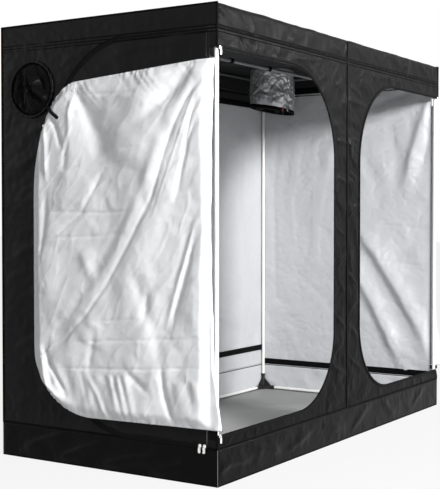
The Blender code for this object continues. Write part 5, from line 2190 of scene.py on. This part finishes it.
@dataclass
class RoofSleeve:
    """The crumpled silver duct sleeve that hangs inside from the roof port."""

    trims: TrimKit
    tilt: float = 0.17
    spokes: int = 132
    rings: int = 40
    lean: Point = (0.54, -0.84)
    lock_turn: float = 238.0
    wave: float = 0.0035
    gather: float = 0.0022
    tuck: float = 0.0008

    HEM = ((0.0012, -0.001), (0.0032, 0.001), (0.0036, 0.010), (0.0030, 0.019),
           (0.0012, 0.020), (-0.0012, 0.019), (-0.0014, 0.004), (-0.0006, -0.001))
    LOCK = ((0.0, 0.0), (0.0042, 0.0005), (0.0052, 0.003), (0.0052, 0.013), (0.0040, 0.0165),
            (0.0030, 0.0175), (0.0030, 0.0215), (0.0, 0.022))

    def _ring(self, turn: np.ndarray, reach: np.ndarray, height: np.ndarray,
              share: object = 1.0) -> np.ndarray:
        """Sets points round the sleeve's axis, on its slant.

        Args:
            turn: The points' angles.
            reach: How far each is from the axis.
            height: Their heights.
            share: How much of the slant each one has.

        Returns:
            Places in the tent.
        """
        along, across = np.cos(turn), np.sin(turn)
        slant = self.tilt * share * reach * (self.lean[0] * along + self.lean[1] * across)
        return np.column_stack([TENT.sleeve_x + reach * along, TENT.sleeve_y + reach * across,
                                height - slant])

    def build(self) -> None:
        """Makes the sleeve, its black hem and its cord lock."""
        top, length = TENT.height - TENT.cloth - TENT.gap, TENT.sleeve_length
        wander = Relief((), (), swell=0.0040, swell_size=0.075, crumple=0.0040,
                        crumple_size=0.055, fade=0.012, low=-0.006, high=0.008, seed=91)
        flat = np.array([(TENT.sleeve_radius * math.tau * s / self.spokes, length * r / self.rings)
                         for r in range(self.rings + 1) for s in range(self.spokes)])
        edge = np.minimum(flat[:, 1], length - flat[:, 1])
        bump = wander.heights(flat, edge)
        turn = flat[:, 0] / TENT.sleeve_radius
        share = flat[:, 1] / length
        seam = eased(np.minimum(turn, math.tau - turn) / 0.5)
        belly = np.sin(math.pi * share)
        wave = self.wave * np.sin(6 * turn + math.pi * share) * belly
        gather = self.gather * np.sin(31 * turn + 1.5 * np.sin(5 * turn))
        gather = gather * (np.exp(-share / 0.16) + np.exp((share - 1) / 0.14))
        radius = TENT.sleeve_radius + wave + bump * seam + gather * belly
        places = self._ring(turn, radius, top - flat[:, 1], share)
        faces = grid_faces(self.rings + 1, self.spokes, looped=False)
        sleeve = new_piece("duct_sleeve_foil", places, faces)
        thicken(sleeve, offset=0.0)
        # The sleeve's inside is painted shade.
        self.trims.wardrobe.finish(sleeve, Look.FOIL, Look.PAINTED_SHADE, node="roof_sleeve")
        around = math.tau * TENT.sleeve_radius
        declare_sheet((around, length), around * length)
        self._hem(top - length)

    def _hem(self, bottom: float) -> None:
        """Adds the hem, the cord lock and its cord at the sleeve's mouth.

        Args:
            bottom: The height of the sleeve's mouth.
        """
        dress = self.trims.wardrobe.finish
        out, up = (np.tile(part, self.spokes) for part in np.array(self.HEM).T)
        turn = np.repeat(math.tau * np.arange(self.spokes) / self.spokes, len(self.HEM))
        tuck = self.tuck * np.sin(31 * turn + 1.5 * np.sin(5 * turn))
        reach = TENT.sleeve_radius + out + np.where(out > 0, tuck, 0.0)
        places = self._ring(turn, reach, bottom + up)
        hem = new_piece("duct_sleeve_hem", places, grid_faces(self.spokes, len(self.HEM)))
        dress(hem, Look.WEBBING)
        turn = math.radians(self.lock_turn)
        reach = TENT.sleeve_radius + 0.006
        x, y = TENT.sleeve_x + reach * math.cos(turn), TENT.sleeve_y + reach * math.sin(turn)
        dress(turned_piece("duct_cord_lock", self.LOCK, (x, y, bottom - 0.008), 16), Look.TOGGLE)
        tails = [Trail(tuple((x + off, y - 0.002, z)
                             for z in np.linspace(bottom + 0.012, bottom - 0.030, 8)), (0, -1, 0))
                 for off in (-0.0016, 0.0016)]
        self.trims.piping("duct_cord_tails", tails, Look.PALE_PIPING, 0.0011)


def turned_piece(name: str, profile: Sequence[Point], base: Place, sides: int,
                 axis: str = "Z") -> bpy.types.Object:
    """Turns a closed shape from a profile of radii and heights.

    Args:
        name: The piece's name.
        profile: Radii and heights, from the bottom pole to the top pole.
        base: Where its bottom stands.
        sides: How many faces it has round it.
        axis: "Z" for upright, "X" for lying along the tent.

    Returns:
        The piece.
    """
    places: list[Place] = []
    rings = profile[1:-1]
    for radius, height in rings:
        for side in range(sides):
            turn = math.tau * side / sides
            places.append((radius * math.cos(turn), radius * math.sin(turn), height))
    places += [(0.0, 0.0, profile[0][1]), (0.0, 0.0, profile[-1][1])]
    low, high = len(places) - 2, len(places) - 1
    faces = []
    for side in range(sides):
        after = (side + 1) % sides
        faces.append((low, after, side))
        faces.append((high, (len(rings) - 1) * sides + side, (len(rings) - 1) * sides + after))
        for ring in range(len(rings) - 1):
            here, there = ring * sides, (ring + 1) * sides
            faces.append((here + side, here + after, there + after, there + side))
    points = np.array(places)
    if axis == "X":
        points = points[:, [2, 0, 1]]
    return new_piece(name, points + np.array(base), faces)


@dataclass
class DoorLeaf:
    """A front door leaf, hooked back against its end wall, lining side out."""

    trims: TrimKit
    label: str
    side: int
    columns: int = 176
    rows: int = 240
    start: float = 0.041
    width: float = 0.987
    standoff: float = 0.020
    lead_in: float = 0.055
    fold_depth: float = 0.012
    belly: float = 0.017

    MAIN_FOLDS = (
        (0.026, 0.989, 0.213, 0.826, 0.040, -0.80),
        (0.213, 0.826, 0.333, 0.671, 0.045, -0.90),
        (0.333, 0.671, 0.563, 0.461, 0.050, -1.00),
        (0.563, 0.461, 0.940, 0.278, 0.050, -1.00),
        (0.107, 0.982, 0.408, 0.851, 0.060, -0.50),
        (0.743, 0.945, 0.588, 0.802, 0.040, -0.80),
        (0.073, 0.652, 0.241, 0.367, 0.040, -0.60),
        (0.808, 0.243, 0.717, 0.117, 0.035, -0.60),
        (0.618, 0.200, 0.548, 0.114, 0.030, -0.60),
        (0.250, 0.210, 0.202, 0.135, 0.030, -0.50),
        (0.135, 0.885, 0.316, 0.727, 0.035, 0.50),
        (0.710, 0.676, 0.861, 0.420, 0.090, 0.60),
        (0.405, 0.420, 0.304, 0.253, 0.080, 0.60),
    )
    CREASES = (
        Fold(((0.026, 1.755), (0.133, 1.606), (0.210, 1.466), (0.302, 1.212), (0.436, 0.991),
              (0.556, 0.819), (0.662, 0.691), (0.798, 0.565), (0.928, 0.493)), 0.010, -0.0060, 0.3),
        Fold(((0.075, 1.735), (0.165, 1.580), (0.255, 1.430), (0.350, 1.200), (0.485, 0.975),
              (0.605, 0.805), (0.715, 0.675), (0.850, 0.560)), 0.036, 0.0190, 0.0, 3.2),
        Fold(((0.106, 1.743), (0.232, 1.621), (0.403, 1.510)), 0.030, -0.0110, 0.2),
        Fold(((0.733, 1.678), (0.665, 1.560), (0.580, 1.424)), 0.018, -0.0100, 0.3),
        Fold(((0.035, 1.755), (0.095, 1.570), (0.150, 1.390)), 0.007, -0.0045, 0.3),
        Fold(((0.050, 1.745), (0.130, 1.540), (0.215, 1.330), (0.300, 1.120)), 0.006, 0.0030, 0.4),
        Fold(((0.829, 1.320), (0.703, 1.337), (0.346, 1.365)), 0.005, -0.0030, 0.9),
        Fold(((0.611, 1.411), (0.346, 1.421)), 0.005, -0.0028, 0.9),
        Fold(((0.896, 1.144), (0.572, 1.136), (0.402, 1.146)), 0.006, -0.0042, 0.9),
        Fold(((0.906, 1.023), (0.643, 1.033), (0.453, 1.049)), 0.006, -0.0042, 0.9),
        Fold(((0.779, 0.559), (0.505, 0.583), (0.080, 0.615)), 0.006, -0.0040, 0.9),
        Fold(((0.618, 0.662), (0.386, 0.681)), 0.006, -0.0030, 0.9),
        Fold(((0.863, 0.437), (0.387, 0.465), (0.057, 0.497)), 0.006, -0.0050, 0.9),
        Fold(((0.484, 1.663), (0.271, 1.691)), 0.010, -0.0050, 0.5),
        Fold(((0.702, 1.657), (0.328, 1.649)), 0.008, -0.0040, 0.6),
        Fold(((0.569, 1.324), (0.654, 1.194), (0.696, 1.133), (0.850, 1.027)), 0.010, -0.0045, 0.6),
        Fold(((0.764, 1.541), (0.797, 1.339)), 0.016, -0.0070, 0.3),
        Fold(((0.069, 1.558), (0.123, 1.436), (0.189, 1.190)), 0.014, -0.0060, 0.3),
        Fold(((0.072, 1.158), (0.142, 0.937), (0.238, 0.652)), 0.014, 0.0060, 0.3),
        Fold(((0.095, 1.016), (0.222, 0.633)), 0.014, -0.0050, 0.3),
        Fold(((0.328, 0.800), (0.353, 0.679)), 0.016, -0.0060, 0.2),
        Fold(((0.905, 1.218), (0.911, 1.091), (0.940, 0.934)), 0.016, -0.0060, 0.2),
        Fold(((0.672, 0.434), (0.610, 0.335), (0.541, 0.203)), 0.014, 0.0070, 0.3),
        Fold(((0.454, 0.457), (0.337, 0.372)), 0.016, -0.0070, 0.2),
        Fold(((0.263, 0.485), (0.247, 0.353), (0.199, 0.239)), 0.014, -0.0080, 0.2),
        Fold(((0.618, 0.596), (0.663, 0.455)), 0.018, -0.0070, 0.2),
        Fold(((0.558, 0.243), (0.506, 0.193)), 0.009, -0.0070, 0.3),
        Fold(((0.362, 0.249), (0.313, 0.214)), 0.009, -0.0070, 0.3),
        Fold(((0.143, 0.271), (0.104, 0.235)), 0.009, -0.0070, 0.3),
        Fold(((0.937, 0.520), (0.891, 0.360), (0.799, 0.275)), 0.016, 0.0140, 0.1),
        Fold(((0.909, 0.505), (0.830, 0.380), (0.790, 0.320)), 0.014, -0.0120, 0.2),
        Fold(((0.737, 1.666), (0.761, 1.586), (0.767, 1.496), (0.797, 1.406)), 0.014, 0.0080, 0.2),
        Fold(((0.880, 1.569), (0.844, 1.522), (0.809, 1.429)), 0.014, -0.0090, 0.2),
        Fold(((0.911, 1.525), (0.900, 1.289)), 0.014, 0.0070, 0.2),
        Fold(((0.330, 1.680), (0.385, 1.500), (0.440, 1.320)), 0.130, 0.0230),
        Fold(((0.690, 1.660), (0.640, 1.520), (0.600, 1.370)), 0.090, -0.0180),
        Fold(((0.700, 1.200), (0.850, 0.745)), 0.090, -0.0090),
        Fold(((0.900, 1.000), (0.920, 0.760)), 0.060, 0.0080),
        Fold(((0.880, 0.690), (0.820, 0.560)), 0.070, -0.0090),
        Fold(((0.600, 0.660), (0.640, 0.540)), 0.070, 0.0080),
        Fold(((0.420, 0.900), (0.300, 0.640), (0.270, 0.500)), 0.030, -0.0060),
        Fold(((0.700, 0.980), (0.620, 0.830)), 0.030, 0.0060),
    )
    FRONT_EDGE = ((0.24, -0.034), (0.38, -0.013), (0.50, 0.003), (0.76, 0.014), (1.05, 0.024),
                  (1.55, 0.016), (1.775, 0.005))
    EYELETS = ((0.743, 1.680), (0.923, 1.530), (0.926, 0.486))
    EYELET_PROFILE = ((0.0, 0.0), (0.0030, 0.0004), (0.0062, 0.0004), (0.0070, 0.0012),
                      (0.0062, 0.0022), (0.0042, 0.0024), (0.0034, 0.0012), (0.0, 0.0010))
    SILL = (0.240, 0.222)
    HEAD = (1.775, 1.700)
    CORNERS = ((0.337, 0.310), (0.250, 0.500))
    PLEATS = (
        Pleats((0.05, 0.440), (0.93, 0.425), 0.060, 0.0060, 0.110, 0.25, -1),
        Pleats((0.04, 1.770), (0.90, 1.700), 0.045, 0.0035, 0.050, 0.8, -1),
    )
    FINE = Relief(CREASES, PLEATS, swell=0.0014, swell_size=0.12, crumple=0.0014,
                  crumple_size=0.10, stretch=(2.6, 0.8), turn=-0.95, fade=0.012,
                  low=-0.022, high=0.030, seed=101)
    HEM_FADE, SEWN_FADE = 0.048, 0.05
    CRIMP, CRIMP_PITCH, CRIMP_REACH = 0.0030, 0.026, 0.022
    BOW_LEAST, BOW_SHARE = 0.010, 1.05
    LEAST_OFF, LEAST_SOFT = 0.0125, 0.0025
    ROOM, ROOM_START, ROOM_SLOPE, ROOM_SOFT = 0.0195, 0.027, 0.55, 0.0015
    STRAP_MIDDLE = (0.864, 1.588)
    STRAP_ANGLE, STRAP_STEPS, STRAP_LENGTH, STRAP_HALF = 36.0, 24, 0.096, 0.0082
    STRAP_HELD = 0.905
    STRAP_PROFILE = ((-1, 0.0), (-1, 0.0017), (0, 0.0021), (1, 0.0017), (1, 0.0))

    @property
    def body(self) -> str:
        """Returns the name of the body that the leaf belongs to."""
        return (Body.LEFT_DOOR if self.side < 0 else Body.RIGHT_DOOR).value

    def limits(self, along: np.ndarray) -> tuple[np.ndarray, np.ndarray]:
        """Returns the leaf's bottom and top at distances from its corner.

        Args:
            along: Distances along the wall.

        Returns:
            The lowest and highest heights.
        """
        share = along / self.width
        bends = []
        for wide, tall in self.CORNERS:
            past = np.maximum(along - (self.width - wide), 0.0) / wide
            bends.append(tall * (1 - np.sqrt(np.maximum(1 - past * past, 0.0))))
        bottom, top = (ends[0] + (ends[1] - ends[0]) * share for ends in (self.SILL, self.HEAD))
        return bottom + bends[0], top - bends[1]

    def _main(self, along: np.ndarray, height: np.ndarray) -> np.ndarray:
        """Returns the main folds that the CAD leaf has too.

        Args:
            along: Distances along the wall.
            height: Heights above the ground.

        Returns:
            How far the leaf stands out there.
        """
        across, up = along / self.width, height / self.HEAD[0]
        total = 0.004 * np.sin(math.tau * 2.5 * across + math.pi * up)
        points = np.column_stack([along, height])
        for u0, v0, u1, v1, width, share in self.MAIN_FOLDS:
            start = np.array([u0 * self.width, v0 * self.HEAD[0]])
            end = np.array([u1 * self.width, v1 * self.HEAD[0]])
            away = segment_distance(points, start, end)[:, 0] / (width * self.width)
            total += self.fold_depth * share * np.exp(-away * away)
        return self.fold_depth * np.tanh(total / self.fold_depth)

    def surface(self, along: np.ndarray, up: np.ndarray) -> np.ndarray:
        """Lays the leaf along its end wall.

        Args:
            along: Distances from the corner along the wall.
            up: Shares of the way from the leaf's bottom to its top.

        Returns:
            Places in the tent.
        """
        bottom, top = self.limits(along)
        height = bottom + (top - bottom) * up
        hem = np.minimum(np.minimum(height - bottom, top - height), self.width - along)
        points = np.column_stack([along, height])
        seated = TENT.gap + TENT.cloth / 2
        main = self._main(along, height) + self.belly
        lifted = self.standoff + eased(hem / self.HEM_FADE) * main
        fine = self.FINE.heights(points, hem + 0.004)
        lifted += fine * eased((along - self.start) / self.SEWN_FADE)
        place = along / self.CRIMP_PITCH
        crimp = self.CRIMP * np.sin(math.tau * place + 2.4 * np.sin(place * 1.3))
        crimp = crimp * (0.5 + 0.5 * np.sin(place * 0.37 + 2.0))
        lifted += crimp * np.exp(-hem / self.CRIMP_REACH)
        lead = np.clip((along - self.start) / self.lead_in, 0, 1)
        past = (lifted - self.LEAST_OFF) / self.LEAST_SOFT
        lifted = self.LEAST_OFF + self.LEAST_SOFT * np.logaddexp(0.0, past)
        away = seated + (lifted - seated) * eased(lead * 1.5)
        target = np.interp(height, *np.array(self.FRONT_EDGE).T)
        wave = 0.0016 * np.sin(height * 21.0) + 0.0012 * np.sin(height * 47.0 + 1.0)
        bow = np.maximum(self.start + 0.006 - target + wave, self.BOW_LEAST)
        along = along - bow * np.sin(math.pi * lead ** 0.6) * self.BOW_SHARE
        room = self.ROOM + self.ROOM_SLOPE * np.maximum(along - self.ROOM_START, 0.0)
        away = room - self.ROOM_SOFT * np.logaddexp(0.0, (room - away) / self.ROOM_SOFT)
        return np.column_stack([self.side * (TENT.half_length + away), -TENT.half_depth + along,
                                height])

    def build(self) -> None:
        """Makes the leaf, its strap, its zip half, its hem and its eyelets."""
        count, size = self.columns + 1, self.rows + 1
        share = np.linspace(0, 1, count)
        spread = 0.5 * (1 - np.cos(math.pi * share)) * 0.75 + 0.25 * share
        along = self.start + (self.width - self.start) * spread
        alongs = np.repeat(along, size)
        ups = np.tile(np.linspace(0, 1, size), count)
        places = self.surface(alongs, ups)
        faces = grid_faces(count, size, False, False)
        if self.side < 0:
            faces = [face[::-1] for face in faces]
        leaf = new_piece(f"{self.label}_leaf_cloth", places, faces)
        thicken(leaf)
        self.trims.wardrobe.finish(leaf, Look.LEAF, Look.WALL, node=f"{self.label}_front_door",
                                   body=self.body)
        bottom, top = self.limits(along)
        area = float(np.trapz(top - bottom, along))
        declare_sheet((self.width - self.start, 1.553), area)
        self._zip()
        self._strap()
        self._eyelets()

    def _rim(self, inset: float, lift: float) -> Trail:
        """Draws a line along the leaf's free edge, a little inside it.

        Args:
            inset: How far inside.
            lift: How far the line stands off the leaf.

        Returns:
            The line.
        """
        along = np.concatenate([np.linspace(self.start + 0.012, self.width - 0.04, 90),
                                self.width - np.linspace(0.04, inset + 0.0006, 20)])
        bottom, top = self.limits(along)
        up = inset / (top - bottom)
        places = self.surface(np.append(along, along[::-1]), np.append(up, (1 - up)[::-1]))
        places = places + np.array([self.side * lift, 0, 0])
        return Trail(tuple(map(tuple, places)), (float(self.side), 0.0, 0.0))

    def _zip(self) -> None:
        """Adds the zip teeth on the leaf's edge and the stitches of its hem."""
        self.trims.teeth(f"{self.label}_leaf_teeth", [self._rim(0.0008, -0.0022)], self.body)
        self.trims.stitches(f"{self.label}_leaf_stitches", [self._rim(0.012, 0.0003)],
                            Look.SILVER_THREAD, width=0.0014, body=self.body)

    def _height_at(self, along: float, height: float) -> float:
        """Returns how far the leaf stands off the wall at a point of it."""
        bottom, top = self.limits(np.array([along]))
        up = (height - bottom) / (top - bottom)
        return float(abs(self.surface(np.array([along]), up)[0, 0])) - TENT.half_length

    def _strap(self) -> None:
        """Makes the hold-back strap, webbing with heat-cut ends."""
        angle = math.radians(self.STRAP_ANGLE)
        run = np.array([math.cos(angle), math.sin(angle)])
        across = np.array([-run[1], run[0]])
        places, steps, size = [], self.STRAP_STEPS, len(self.STRAP_PROFILE)
        for step in range(steps + 1):
            share = step / steps
            point = np.array(self.STRAP_MIDDLE) + run * (share - 0.5) * self.STRAP_LENGTH
            if point[0] < self.STRAP_HELD:
                away = max(self._height_at(*point), self.standoff) + 0.0006
            half = self.STRAP_HALF * (1.0 if 0 < step < steps else 0.72)
            arch = 0.0030 * math.sin(math.pi * share) + 0.0006 * math.sin(9 * share)
            for u, h in self.STRAP_PROFILE:
                y, z = point + across * u * half
                places.append((self.side * (TENT.half_length + away + arch + h),
                               -TENT.half_depth + y, z))
        faces = turned_over(grid_faces(steps + 1, size, looped=False))
        faces += [tuple(range(size))[::-1], tuple(steps * size + k for k in range(size))]
        if self.side > 0:
            faces = [face[::-1] for face in faces]
        strap = new_piece(f"{self.label}_strap_webbing", np.array(places), faces)
        self.trims.wardrobe.finish(strap, Look.WEBBING, node=f"{self.label}_door_strap",
                                   body=self.body)

    def _eyelets(self) -> None:
        """Sets a metal eyelet at each place where the leaf can be hooked."""
        profile = self.EYELET_PROFILE
        if self.side < 0:
            profile = [(radius, -rise) for radius, rise in profile][::-1]
        for index, (along, height) in enumerate(self.EYELETS):
            away = self._height_at(along, height)
            base = (self.side * (TENT.half_length + away), -TENT.half_depth + along, height)
            eyelet = turned_piece(f"{self.label}_eyelet_{index + 1}", profile, base, 20, "X")
            self.trims.wardrobe.finish(eyelet, Look.NICKEL, body=self.body)


def write_sizes(before: object, after: object) -> None:
    """Sets the CAD box and the dressed model's box side by side as plain numbers, which are not
    kept.

    Args:
        before: The CAD box.
        after: The dressed model's box.
    """

    def plain(box: object) -> list[list[float]]:
        """Returns a box's corners as lists of numbers."""
        return [[float(part) for part in corner] for corner in box]

    {"cad": plain(before), "visual": plain(after)}


def main() -> None:
    """Builds the dressed tent, piece by piece."""
    logging.basicConfig(level=logging.INFO, format="%(message)s")
    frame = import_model()
    cad_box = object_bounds()
    Studio().build()
    wardrobe = Wardrobe()
    trims = TrimKit(wardrobe)
    bones = Frame(wardrobe, frame["nodes"])
    bones.build()
    bones.bar_clips(trims)
    LOG.info("frame dressed")
    builders = (
        FrontPanel(trims),
        BackWall(trims),
        LeftWall(trims, "left", LEFT, spacing=0.014),
        EndWall(trims, "right", RIGHT, spacing=0.010, crumple=0.0024),
        RoofCanopy(trims),
        FloorTray(trims),
        Seams(trims),
        RoofSleeve(trims),
        DoorLeaf(trims, "left", -1),
        DoorLeaf(trims, "right", 1),
    )
    for builder in builders:
        builder.build()
        LOG.info("%s built", type(builder).__name__)
    write_sizes(cad_box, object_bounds())


if __name__ == "__main__":
    main()
